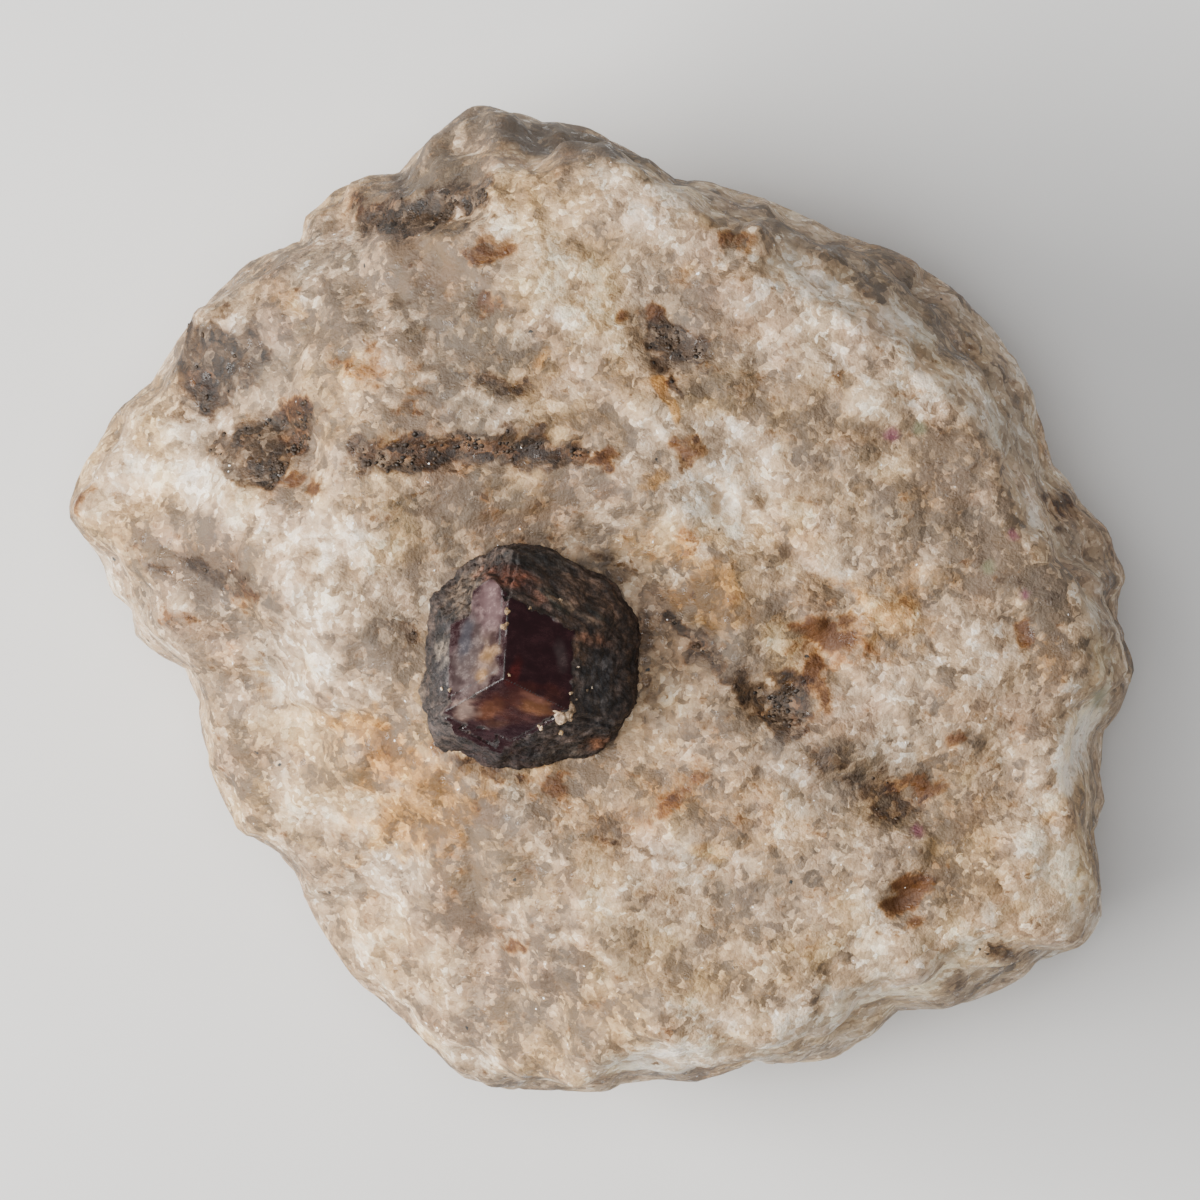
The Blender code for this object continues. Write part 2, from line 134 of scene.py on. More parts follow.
LUMP_SIZES = [(13.0, 1.5, 11), (6.5, 0.9, 12), (3.2, 0.5, 13)]  # width, height and salt

# ---- Rock: fine skin ----
TOP_CELLS = 260  # squares along each side of the upper patch
TOP_RISE = 17.0  # height of the upper patch over the heart, for spacing its points
TOP_SHARE = 0.93  # share of the outline's width that the upper patch covers
SIDE_ROWS, FOOT_ROWS = 44, 8  # rings down to the foot, and on in to the low point
FOOT_ANGLE = -36.0  # degrees below level, seen from the heart, where the flat back begins
LAST_RING = -84.0  # degrees below level of the ring round the low point
SKIN_SUNK = 0.16  # how far the grains lie under the main form
COMMON_GRAIN = 0.0011  # metres, the grain width that the skin's bumps were shaped for

# ---- Crystal ----
CRYSTAL_CENTRE = np.array([-5.5, -4.6, 34.7])
RHOMB_REACH = 8.55  # distance from the centre to the twelve rhombs
CAP_REACH, RING_REACH, BELT_REACH = 10.1, 7.85, 8.75  # and to the narrow faces, from the axis outwards
CRYSTAL_TILT, TILT_TOWARDS = 13.0, 215.0  # degrees that the three-fold axis leans, and its compass angle
FIRST_FACE = 150.0  # compass angle of the first rhomb, in degrees
REACH_SPREAD = 0.35  # how much the faces' distances differ
GROWTHS = [  # crystals grown into one: shift of the centre, and size
    ((0.0, 0.0, 0.0), 1.0),
    ((-0.55, 0.60, -0.10), 0.955),
    ((0.70, -0.10, -0.45), 0.950),
    ((-0.25, -0.75, -0.30), 0.960),
]
SEAT_LEVEL = 35.0  # highest that the rock stands against the crystal
SEAT_RADIUS, SEAT_REACH = 8.8, 17.0  # where it starts to rise again, and is back at its own height
LAMINAE = np.array([[0.28, 0.44, 0.1], [-0.19, 0.66, 0.1], [0.0, 0.2, 0.7]])  # squeeze along the rind
CRYSTAL_CELLS = 280  # squares along each side of the crystal's upper patch
CRYSTAL_DOWN = 100.0  # degrees from straight up that the upper patch reaches
CRYSTAL_ROWS = 14
CRYSTAL_EDGE = 500.0  # sharpness of the edges between its faces
CRYSTAL_SUNK = 0.06  # how far the rind lies under the crystal's form
SHARP_CORNER = 24.0  # degrees, past which an edge is shaded sharp
WORN_AND_SHADED_WIDTH = 0.06  # half width of the dull band along the glassy faces' edges, partly wear and partly painted shade over the edge's glint
WORN_AND_SHADED_TONE = 0.22  # share of its colour that the band keeps: a darkening that is partly wear and partly painted shade over the edge's glint

# ---- Zones of the dull rind, then of the glassy faces, some of them painted shadow, painted sheen and
# painted glow: an oval's centre, half length, half width and turn in degrees, its strength and its colour
# ----
CRYSTAL_ZONES = [
    (-12.2, -4.1, 3.4, 0.9, 85, 1, (0.022, 0.019, 0.021)),
    (-11.3, -1.3, 0.9, 0.35, 95, 0.95, (0.005, 0.005, 0.006)),
    (-12.4, -1, 0.6, 0.25, 70, 0.95, (0.006, 0.006, 0.007)),
    (-12.9, -5.6, 0.9, 0.3, 100, 0.9, (0.008, 0.007, 0.008)),
    (-11.7, -6.2, 0.8, 0.3, 80, 0.9, (0.055, 0.05, 0.052)),
    (-12.3, -3.5, 1, 0.55, 70, 0.9, (0.12, 0.098, 0.078)),
    (-12, -2, 1.2, 0.3, 60, 0.9, (0.01, 0.009, 0.01)),
    (-12.1, -5, 0.9, 0.25, 50, 0.9, (0.09, 0.076, 0.066)),
    (-12.8, -9.2, 1.6, 1.4, 0, 0.9, (0.044, 0.034, 0.032)),
    (-10.4, 0.7, 2.3, 0.9, 50, 0.9, (0.085, 0.062, 0.045)),
    (-14.1, -6.1, 3.2, 0.35, 90, 0.8, (0.1, 0.074, 0.055)),
    (-4, 2.9, 2.8, 1, -8, 0.9, (0.024, 0.022, 0.02)), (-7, 1.8, 2.1, 0.8, -10, 0.9, (0.085, 0.03, 0.018)),
    (-0.7, -0.7, 3.8, 2, -35, 0.95, (0.07, 0.046, 0.034)),
    (-3.3, -0.1, 1.6, 0.5, -35, 0.9, (0.014, 0.017, 0.014)),
    (-1.8, -0.9, 2.4, 0.25, -32, 0.9, (0.135, 0.095, 0.066)),
    (-0.2, -1.2, 1.6, 0.3, -34, 0.9, (0.02, 0.018, 0.014)),
    (-4.9, 0.2, 0.9, 0.4, -40, 0.8, (0.17, 0.085, 0.06)),
    (-0.6, -3.1, 1.3, 0.5, -15, 0.9, (0.11, 0.056, 0.036)),
    (-1.6, -4.4, 0.6, 1, 0, 0.9, (0.07, 0.04, 0.023)),
    (-0.3, -7, 1.6, 2.6, 0, 0.9, (0.036, 0.033, 0.033)),
    (-0.1, -5.5, 0.8, 1.5, 0, 0.9, (0.05, 0.048, 0.05)),
    # Painted shadow: dark brown down the crystal's right side, the side turned away from the light.
    (2.6, -4.8, 0.8, 4.4, 0, 0.9, (0.026, 0.016, 0.011)),
    (-7.6, -11.9, 4.4, 1.2, 0, 0.9, (0.02, 0.012, 0.012)),
    (-3, -12, 2, 0.8, 10, 0.8, (0.05, 0.04, 0.032)), (-0.3, -11.2, 1, 0.5, 20, 0.9, (0.11, 0.05, 0.026)),
]
FACET_ZONES = [
    # The five ovals below are painted sheen on the upper-left glassy face: mauve, grey and pink, the
    # reflection of a pale soft light.
    (-9.8, -4.9, 3.2, 1.5, 80, 1, (0.062, 0.044, 0.041)),
    (-8.9, -5, 2.6, 0.8, 75, 0.8, (0.1, 0.064, 0.05)),
    (-10.4, -3, 1.3, 0.55, 80, 0.8, (0.04, 0.038, 0.045)),
    (-10, -6.6, 1.5, 0.7, 25, 0.7, (0.1, 0.07, 0.066)),
    (-8.5, -0.5, 1.7, 0.9, 95, 1, (0.112, 0.068, 0.068)),
    (-8.6, -4.1, 0.75, 0.6, 60, 0.8, (0.18, 0.1, 0.042)),
    (-9.2, -5.9, 0.6, 0.4, 60, 0.8, (0.2, 0.11, 0.045)),
    # Painted glow: dark red light coming back out through the crystal on the dark middle face.
    (-6.6, -5.7, 1.3, 0.45, 70, 0.9, (0.04, 0.005, 0.004)),
    (-5, -6.7, 1.6, 0.35, -5, 0.8, (0.032, 0.006, 0.005)),
    (-3, -4.2, 0.5, 1, 10, 0.7, (0.04, 0.027, 0.026)),
    (-7, -8.1, 3.6, 1.3, 5, 0.9, (0.042, 0.012, 0.008)),
    (-8.5, -8.6, 1.3, 0.65, 10, 0.9, (0.08, 0.028, 0.013)),
    (-5, -8.3, 1.5, 0.5, -10, 0.9, (0.085, 0.033, 0.013)),
    (-10.4, -8.5, 0.9, 0.8, 0, 0.95, (0.18, 0.12, 0.098)),
    (-6.7, -8.6, 0.9, 0.35, -30, 0.8, (0.022, 0.006, 0.006)),
    (-5.2, -7.5, 0.9, 0.25, -25, 0.8, (0.1, 0.04, 0.026)),
    (-8, -9.6, 0.8, 0.4, 0, 0.8, (0.05, 0.02, 0.012)),
    (-6, -10.3, 3.2, 0.6, 0, 0.9, (0.016, 0.005, 0.007)),
]
GLASSY_REACHES = [  # where a glassy face runs on past its edge: an oval, and how far the rest stands back
    (-8.7, -0.2, 1.6, 1.0, 95, 0.9),
    (-10.6, -8.9, 1.0, 0.7, -30, 0.3),
    (-10.0, -11.6, 2.2, 1.2, -30, 0.65),
]
CRUMBS = [  # small pieces of rock left on the crystal: centre and half width
    (-2.8, -8.6, 1.05), (-4.5, -10.2, 0.26), (-2.7, -11, 0.28), (-7.05, -1, 0.3), (-7.3, -2.1, 0.34),
    (-11.7, -7, 0.2), (-12.6, -7, 0.18), (-6.9, -5.7, 0.12), (-2.2, -7.2, 0.16), (-0.1, -7, 0.15),
    (-1.4, -5.2, 0.14), (-0.6, -7.2, 0.12), (-1.8, -7.7, 0.1), (-2.7, 0.8, 0.18), (-5.4, -0.5, 0.13),
]

BIG_CRUMB = 0.5  # half width past which a crumb gets the finer net
CRUMB_CELLS = (7, 24)  # squares along each side of a small crumb's six faces, and of a big one's
CRUMB_BALL = 90.0  # square of the radius on which the crumbs are aimed

# ---- Mica flakes ----
FLAKE_WIDTH = (0.08, 0.20)  # least half width, and its spread
FLAKES_FROM = 20.0  # lowest level of the flakes
FLAKE_STAIN, FLAKE_SHARE = 0.7, 0.3  # the stain at which flakes begin, and how fast they grow common
BIT_SUNK = 0.4  # share of a flake's height that it is sunk
BIT_SALT = 95

# ---- Stains on the rock, with painted shadow and painted light among them: centre, half length, half width, turn in degrees, strength ----
STAIN_RISE = (11.0, 18.0)  # levels between which the stain ovals, with the painted shadow and light among them, come in
TINT_RISE = (15.0, 22.0)  # and the small coloured grains
PAINTED_FLANK_LIGHT_RISE = (13.0, 22.0)  # and where the painted light that brightens the flanks gives way to the upper side
UNFOLD_FROM, UNFOLD = 21.0, 0.6  # level, and outward spread for each millimetre below it
STAINS_AND_PAINTED_LIGHT = {
    "mica": [
        # The first three ovals below are painted shadow round the crystal: on its right, along its
        # lower-left edge and at its upper right.
        (3.6, -3.6, 0.6, 4.6, 4, 0.7), (-9.8, -12.9, 5, 0.6, -23, 0.7), (1.6, 2.4, 2.4, 0.9, -40, 0.6),
        (-29.6, 20.3, 3.4, 1.7, -25, 1.5), (-30.6, 16.6, 3, 1.4, 28, 1.6), (-31, 18.9, 4, 2.6, 60, 1.3),
        (-26.6, 13.3, 3.2, 1.3, 18, 1.6), (-23.7, 13.3, 1, 2, 0, 1.4), (-26.7, 10.7, 2.6, 1.4, 8, 1.5),
        (-29.9, 11.9, 1.2, 1.1, 0, 1), (-26.6, 12, 3.2, 2.2, 20, 1.1), (-14.4, 30.6, 4.4, 1.2, 5, 2.4),
        (-2.2, 12.2, 2.2, 1, 0, 1.3), (-10.6, 31.4, 2, 1.3, 15, 1.4), (-17.6, 29.8, 2.2, 0.7, 5, 1.2),
        (-15.4, 31, 5.6, 1.8, -5, 0.7), (-9.4, 11.7, 9.6, 1.2, 1, 1.5), (-16, 11, 3.4, 1.4, 4, 1.4),
        (-6.6, 12.2, 2.6, 1.5, 0, 1.6), (4.9, 20.8, 1.6, 1.1, -30, 1.5), (6.8, 19.9, 2.2, 1, -25, 1.25),
        (5, 18.7, 0.8, 0.7, 0, 0.8), (6.2, 16.7, 1.3, 0.4, 105, 1.1), (6.4, -2, 1.9, 0.4, -48, 1.5),
        (8.7, -4.5, 2.9, 0.9, -44, 1.2), (13.4, -8.2, 2.9, 1.5, -22, 1.6),
        (11.2, -6.7, 1.4, 0.8, -40, 1.1), (14.7, -6.2, 2.2, 0.5, 0, 0.9),
        (22.4, -15.4, 3.6, 1.5, -25, 0.8), (17.6, -12.4, 3, 1, -15, 0.6),
        (31.3, -27.8, 1.4, 0.9, -20, 0.8), (28.2, -30.2, 1.3, 0.8, 80, 0.7),
        (-30.4, 2.2, 3.8, 0.8, -22, 0.9), (-35.5, 2.9, 2, 0.6, -20, 0.7), (37, 7, 1.6, 1.6, 0, 0.7),
        (-7.2, 16.9, 2.6, 0.8, -5, 0.9), (-14.3, -2.6, 0.7, 1.1, 20, 0.9), (1.8, 2, 1.6, 1.4, 0, 0.6),
        (2.1, -19.1, 3, 0.3, -13, 0.6),
    ],
    "rust": [
        (-9.6, 11.7, 9.2, 0.8, 1, 0.6), (-24.3, 15.1, 1.2, 1.1, 0, 1.1), (-24, 9.6, 1.4, 0.5, 0, 1),
        (-22.4, 8.8, 0.7, 0.5, 0, 1), (-23.6, 13, 0.6, 1.6, 0, 0.8), (-31.8, 17.8, 1, 0.8, 0, 0.7),
        (0.9, 11.3, 1.3, 0.7, 0, 1.2), (6.9, 11.9, 1.7, 0.9, 0, 1.1), (2.4, 21.9, 0.7, 0.7, 0, 1),
        (4.3, 22.2, 1.1, 0.7, 0, 1.1), (17.6, -3, 2.1, 0.9, -25, 1.3), (16.6, -5.4, 0.8, 1.4, 0, 1.2),
        (17.3, -7.4, 0.7, 1.5, 10, 1.1), (19.7, -1.4, 1.5, 1, 0, 1), (18, -4.4, 4.6, 2.4, 64, 0.5),
        (19.3, -2.9, 3.6, 1.5, 46, 0.6), (24.8, -14.4, 2, 1.1, 0, 1), (23.9, -23.2, 1.9, 1.5, 60, 1.3),
        (28, -10.9, 0.8, 0.5, 0, 1), (10.9, 27.9, 1.4, 0.9, 0, 0.9), (-8.2, 27.9, 1.3, 0.8, 0, 0.9),
        (-9.4, 27, 1.4, 0.8, 0, 0.6), (-8.3, 23, 1.4, 0.8, 0, 0.8), (33.4, -2.6, 0.7, 1, 0, 0.9),
        (-18.2, 31.4, 3, 0.9, 5, 0.6), (-42, 7.8, 1.3, 0.9, 70, 1), (5.3, -15.8, 1.4, 0.8, 40, 0.7),
        (7.6, -13.9, 1.1, 0.8, 0, 0.7), (-6.6, -27.3, 0.9, 0.6, 0, 1), (-33.9, 5, 1, 0.5, -20, 0.8),
        (-28.2, 0, 1.1, 0.9, 0, 0.6), (-33.6, -1.6, 1.4, 0.6, -30, 0.6), (7.2, 4.5, 1.5, 1.1, -20, 0.6),
        (-14.7, 15.2, 1.4, 1.2, 0, 0.6), (-18.4, 18.6, 3, 1.3, 0, 0.6), (37.2, 7.4, 1.4, 1.4, 0, 0.7),
        (-4.1, -14.4, 2.2, 1, 10, 0.8),
    ],
    "ochre": [
        (-13.7, -16.3, 6.4, 4, 30, 1), (-16.4, -12.2, 6, 2.4, -36, 1), (-24.4, 23.5, 2.3, 1.1, -40, 0.8),
        (-18.4, 18, 3.6, 2, 0, 0.6), (-4.7, 18.8, 1.5, 1, 40, 0.9), (5.4, 15.7, 2.2, 0.5, -72, 1.4),
        (4.3, 9.5, 1.3, 0.9, 0, 0.9), (-10.7, 10.4, 1.8, 0.9, 0, 0.7), (6, 25.8, 0.9, 0.9, 0, 0.7),
        (25.3, 7.7, 2, 1.9, 0, 0.6), (25.7, 1.9, 3.2, 0.9, 0, 0.6), (21.9, -1.6, 2.2, 1.1, 0, 0.8),
        (35.4, -16.9, 1, 0.7, 0, 0.8), (35.5, -23.6, 2.1, 1, 0, 0.8), (8.5, -19.2, 1.9, 1, 0, 0.8),
        (6, -15, 2.6, 1.7, 40, 0.8), (-7.8, -33.4, 1.5, 1.1, 0, 0.6), (-26.9, -6.3, 2.4, 0.5, 110, 0.9),
        (-30.8, 4.4, 3.6, 1.2, -20, 0.5), (-29.8, -4.6, 1.7, 1, 0, 0.6), (7.2, 4.5, 2, 1.6, 0, 0.7),
        (-8, 6.4, 1, 3, 10, 0.6), (-4.6, -13.6, 4, 1.2, 8, 0.7), (20, -4.6, 3.4, 2.4, 20, 0.5),
        (-19, 8, 3.4, 2, 0, 0.3), (26, -22.4, 2.6, 2.4, 0, 0.4), (2.6, 4.2, 3.6, 1.4, -10, 0.6),
        (8.4, 1, 4.6, 2.4, -60, 1), (22.6, -1.6, 4.4, 3.4, -30, 0.9), (10, -15.6, 9, 4, -30, 0.6),
        (35, -5, 2.4, 1.6, 80, 0.7), (0, -16.5, 7, 2.4, -10, 0.6), (11.2, -17.4, 14, 6, -38, 0.35),
        (29.6, -10, 9.6, 4, -24, 0.4), (14.5, 2.6, 2.6, 4.8, 0, 0.5), (-19, -10.6, 8, 5, -40, 0.4),
        (17.8, -23.1, 3, 2, 0, 0.5), (26.3, -12.5, 2.5, 1.6, 0, 0.6), (-13.4, -13.1, 3, 1.4, -20, 0.6),
        (12, -30, 5, 2.4, 10, 0.25), (-2, -31, 5, 2.4, 10, 0.25), (14, -17, 4, 2.2, 10, 0.3),
        (17.7, -23.7, 9, 4.4, -12, 0.38), (7.4, -13.3, 9.6, 7.2, -15, 0.4),
        (32.3, -14.8, 6, 2.4, -59, 0.45), (-19.1, -22.1, 6, 2.8, -71, 0.4),
        (26.3, 17.4, 2.6, 2.2, 67, 0.5), (37.6, -24, 2.6, 1.8, -48, 0.55),
        (-15.8, 11.4, 3.8, 1.5, 4, 0.8), (-4, 12.2, 4.4, 1.3, 0, 0.7),
    ],
    "grey": [
        (-16, 6.9, 2.6, 1.9, 69, 0.6), (-11.9, 3.9, 2.2, 1.6, -63, 0.9),
        (16.8, -15.2, 3.9, 1.8, -47, 0.7), (-31.2, 3, 3.3, 2, -65, 0.7), (33.9, -0.7, 3.4, 1.4, -46, 0.9),
        (-10.2, 37.4, 2, 1.4, 5, 1), (9.8, 16.8, 2.2, 1.4, -30, 0.7), (-10.5, 15.2, 2.6, 2.6, 20, 0.9),
        (-11, 21.5, 6.4, 2.4, -28, 0.8), (-8, 7.6, 6, 2, 0, 0.6), (22, 24.6, 15, 2.2, -38, 0.6),
        (-0.5, 36.2, 9, 2, -14, 1.5), (-13, 33.8, 3, 2.6, 0, 1.4), (34, 13, 8, 1.8, -62, 0.45),
        (39.4, 0, 2.4, 8.5, 0, 0.35), (33, -29.6, 5, 1.4, 28, 0.5), (-10, -25, 2.7, 2.5, 0, 0.5),
        (-16.3, -2.9, 2.6, 2.6, 0, 0.6), (1, 6, 3.6, 2.6, 0, 0.5), (12, -3.6, 4.6, 2, -30, 0.4),
        (17, -12, 4.4, 2, -15, 0.6), (40.6, -16, 1.6, 9, 0, 0.4), (2, -27.5, 6, 2, 5, 0.35),
        (-5, 5.6, 6, 1.6, 4, 0.4), (14, -22, 6, 2, 0, 0.3), (24, -17, 2.2, 1.4, -20, 0.7),
        (-20.5, 22, 5, 2.2, -20, 0.35), (-33, 0.4, 5, 1.8, -25, 0.4),
    ],
    "dun": [
        (-13.7, 14.3, 2, 1.6, 70, 0.9), (-1.6, -34.5, 5.7, 2.1, 28, 0.9), (-17.1, 31.7, 5.2, 2.1, 5, 0.7),
        (-9.9, 11.9, 9, 3, 6, 0.9), (-7.2, -17, 5.9, 2.2, 58, 0.5), (-30.3, 19.5, 4.5, 2.4, -74, 0.8),
        (-10.1, 24.7, 4.8, 1.7, -37, 1.5), (-23, 9.7, 2.8, 1.6, 87, 0.8),
        (-13.7, 28.4, 10.5, 3.2, -41, 0.7), (-35.8, 13.5, 3.3, 1.6, 44, 0.7),
        (17.9, 18.4, 4.8, 3.5, -25, 0.6), (-6.8, -33.4, 7.1, 3.9, -33, 1.3),
        (23.5, -19.6, 2.2, 1.2, 14, 0.7), (30.8, 1.5, 6.2, 1.9, -35, 0.9),
        (-15.9, 31.2, 5.8, 2.2, -8, 0.9), (-6.7, -33.4, 7, 3.8, -25, 0.9), (-15, 11, 12, 2, 4, 0.7),
        (-10.8, 26.6, 5.6, 2.3, -60, 0.9), (10.6, -8, 5.6, 2.2, -55, 0.7),
        (28.2, 12.2, 2.8, 1.4, -34, 1.4), (1.9, 3.9, 5.5, 2, -51, 0.6), (-12, 21, 9, 5, -35, 0.9),
        (-6, 14.5, 7, 2.2, 0, 0.9), (-22, 22, 6, 3, -40, 0.5), (-20, 28.5, 5, 2.2, -30, 0.6),
        (-4, 7, 8, 3, 0, 0.8), (33.6, 0.2, 6, 2, -50, 1), (5, -2, 2, 5, -20, 0.7),
        (-14, 26, 6, 3, -60, 0.8), (-13, 13.6, 9, 2, 2, 0.7), (-5.1, -35.5, 4.5, 2.3, -8, 1.2),
        (-7.5, -31.5, 8, 5, -55, 0.8), (-32, 2.5, 5, 2, -10, 0.8), (12, -26.5, 5, 3.4, -50, 0.6),
        (25.5, 12, 4, 2, 0, 0.4), (7.6, 17.5, 6, 2.6, 65, 0.4), (27, -20, 5, 3.5, 0, 0.3),
        (10, 0.5, 8, 2.6, -10, 0.7), (11, -5, 6, 2, -40, 0.6), (-31, 18.9, 4.6, 3, 80, 0.7),
    ],
    "white": [
        # The first oval below, on the steep lower rim, is painted light that brightens a face the lamps
        # only graze.
        (4.8, -36.2, 4.7, 2.6, 29, 1.6), (1.2, -24.4, 1.1, 0.7, 0, 0.9), (-2.3, -26.8, 1.5, 0.8, 10, 0.9),
        (-12.7, -28.2, 1, 0.8, 0, 0.8), (-19.9, 27, 1.7, 1.2, 0, 0.9), (21.5, 15.8, 2.1, 2, 0, 0.8),
        (25.1, 16, 2, 1.9, 0, 0.8), (36.6, -11, 2.3, 1.8, 40, 1), (-22.9, -0.8, 3, 4.8, 0, 0.8),
        (-30.6, 8.4, 6, 2.4, -28, 1.3), (-36, 11, 5, 2, 40, 0.6), (-1.4, 25, 5.6, 2.8, -57, 0.9),
        (-24.8, 20, 1.8, 1.4, 0, 0.6), (3.5, 31, 6, 2.2, -4, 0.5), (15, 11, 7, 3, -20, 0.4),
        # The second oval below, on the right rim, is painted light that lifts a shaded fold.
        (-18, -20, 2.4, 7, 25, 0.5), (37.6, -11, 4.6, 2, 50, 1.7), (16, 26, 4, 1.6, -38, 1),
        (29, 17.7, 9, 1.3, -47, 0.6), (13, -34.6, 13, 2.4, 15, 0.9), (38.4, -3, 7, 1.8, 85, 0.9),
        (1.1, -25.1, 7, 2.4, 74, 0.6), (-22, -10, 12, 4, 75, 0.5), (-21.6, 24.1, 5, 2.2, 50, 0.8),
        (-1.6, 16.3, 3.7, 1.8, -34, 0.8), (2.5, 33.5, 3, 1.6, -8, 0.8), (17, 3.4, 5, 2.9, 38, 1.1),
        (-22, -1.5, 6, 3.4, 80, 1.1), (37.4, -22.8, 4.4, 2.2, -86, 0.9), (31, 14.6, 3.6, 1.4, -62, 0.8),
        (25, -2.8, 3.2, 2, 50, 0.6), (30, -28.6, 5.4, 2, 16, 0.5), (19.5, -32.1, 5.2, 3.7, 65, 0.7),
        (-21.8, -21.5, 3.3, 2, -44, 0.8), (12.5, -3.7, 2, 1.6, -67, 0.8),
        (38.7, -24.2, 2.1, 1.3, 90, 0.9), (15.9, 25.4, 2.8, 1.7, -30, 1.5),
        (19.2, -34.3, 5.7, 1.5, 24, 0.8), (26.1, 21.3, 5, 1.5, -37, 0.7),
        (32.1, 14.1, 3.5, 1.7, -79, 0.8), (21.2, -24.1, 3.2, 1.7, 8, 0.6), (4.4, -7, 1.7, 1.5, 43, 0.8),
        (8.5, -34, 9, 3.4, 2, 1.1), (-29.7, 9.5, 2.3, 1.6, -24, 1.5), (-16.7, 3.6, 5.2, 2.9, 61, 0.8),
        (32.1, -26.7, 8.6, 3.2, 20, 0.7), (-3.1, 23.6, 3.2, 1.7, -60, 1.2),
        (-21.5, -2.7, 14, 2.9, 50, 0.5), (12.6, 10, 6.7, 4, 62, 0.7), (-20.1, 25.5, 4, 1.5, -79, 0.9),
        (-5.6, 34.4, 3.1, 1.9, 11, 0.8), (-28, -11.5, 2.7, 1.5, -68, 0.8),
        (30.8, -6.6, 3.6, 2.8, 80, 0.8), (14, 24, 5, 2, -30, 0.4), (-10.5, -37.4, 4, 1.2, -10, 0.6),
        (8, -37.6, 10, 1.2, 4, 0.4), (33.5, -19.5, 3, 2, 10, 0.5),
    ],
}

TINTS = {  # small coloured grains: centre, half width, colour
    "magenta": [(22.8, 12.9, 0.55), (24.9, -17.9, 0.5), (33.1, 0.4, 0.35), (32.4, 5.2, 0.3)],
    "olive": [(25.0, 13.4, 0.6), (39.4, -7.8, 0.8), (30.4, 2.6, 0.5)],
}

# ---- Stage, in metres ----
FLOOR_HALF = 600.0  # half width of the floor, in millimetres
SENSOR = 36.0  # width of the camera's sensor, in millimetres
LAMP_AIM = Vector((0.0, 0.0, 0.03))
LAMPS = [  # name, place, width and length, share of the set power, colour
    ("key", (-0.53, -0.06, 0.36), (0.50, 0.28), 1.1, (1.0, 0.99, 0.97)),
    ("top", (-0.10, 0.0, 0.95), (0.5, 0.5), 0.70, (0.98, 0.99, 1.0)),
]
SKY = (0.9, 0.93, 1.0, 1.0), 0.24  # colour and strength of the light from all round


# ---- Small tools ----
def unit(rows):
    """Each row as a direction of length one."""
    rows = np.asarray(rows, float)
    return rows / np.linalg.norm(rows, axis=-1, keepdims=True)


def smooth_step(x, low, high):
    """0 below low, 1 above high, and an even curve between."""
    t = np.clip((x - low) / (high - low), 0.0, 1.0)
    return t * t * (3.0 - 2.0 * t)


def scattered(cells, salt):
    """A repeatable number from 0 to 1 for each row of three whole numbers."""
    key = cells[..., 0] * 73856093 ^ cells[..., 1] * 19349663 ^ cells[..., 2] * 83492791
    key = (key ^ salt * 40503) & 0x7FFFFFFF
    key = ((key ^ (key >> 15)) * 1103515245) & 0x7FFFFFFF
    key = ((key ^ (key >> 13)) * 12820163) & 0x7FFFFFFF
    return ((key ^ (key >> 16)) & 0xFFFFFF) / float(0xFFFFFF)


def chips(points, size, salt):
    """Height of broken grains: the highest, at each point, of the tilted domes of the seeds nearby."""
    grid = points / size
    base = np.floor(grid).astype(np.int64)
    height = np.full(len(points), -9.0)
    for step in itertools.product((-1, 0, 1), repeat=3):
        cell = base + np.array(step)
        jitter = np.stack([scattered(cell, salt + k) for k in (1, 2, 3)], axis=-1)
        away = grid - (cell + 0.15 + 0.7 * jitter)
        tilt = np.stack([scattered(cell, salt + k) for k in (4, 5, 6)], axis=-1) - 0.5
        dome = scattered(cell, salt + 7) + 1.6 * (away * tilt).sum(axis=1) - 1.6 * (away**2).sum(axis=1)
        height = np.maximum(height, dome)
    return height - 0.35


def soft_noise(points, size, salt):
    """Smooth lattice noise, -0.5 to 0.5: the eight corner values of each cell, evenly blended."""
    grid = points / size
    base = np.floor(grid).astype(np.int64)
    part = grid - base
    part = part * part * (3.0 - 2.0 * part)
    total = np.zeros(len(points))
    for corner in itertools.product((0, 1), repeat=3):
        weight = np.prod(np.where(np.array(corner) == 1, part, 1.0 - part), axis=1)
        total += weight * scattered(base + np.array(corner), salt)
    return total - 0.5


def turned(x, y, cx, cy, long, short, degrees):
    """Places measured along and across a turned oval, in half lengths and half widths."""
    turn = math.radians(degrees)
    along = ((x - cx) * math.cos(turn) + (y - cy) * math.sin(turn)) / long
    across = ((y - cy) * math.cos(turn) - (x - cx) * math.sin(turn)) / short
    return along, across


# ---- The rock's main form, as the solid has it ----
def outline_radius(angle):
    """Distance from the middle to the edge of the outline in each compass direction."""
    x, y = np.array(OUTLINE).T
    at = np.arctan2(y, x) % (2 * math.pi)
    order = np.argsort(at)
    return np.interp(angle % (2 * math.pi), at[order], np.hypot(x, y)[order], period=2 * math.pi)


def broad_radius(angle):
    """The same distance with the outline's small bumps and notches evened out."""
    turns = np.radians(np.linspace(-BROAD_TURN, BROAD_TURN, 9))
    return sum(outline_radius(angle + turn) for turn in turns) / len(turns)


def side_planes():
    """Points on, and directions of, the steep faces and the undercut faces below them."""
    points, ways = [], []
    for degrees, level, lean_up, lean_down in SIDES:
        angle = math.radians(degrees)
        across = np.array([math.cos(angle), math.sin(angle), 0.0])
        girdle = across * (broad_radius(np.array([angle]))[0] - GIRDLE_INSET) + [0.0, 0.0, level]
        points += [girdle, girdle - [0.0, 0.0, UNDERCUT_DROP]]
        ways += [across + [0.0, 0.0, lean_up], across + [0.0, 0.0, lean_down]]
    return points, ways


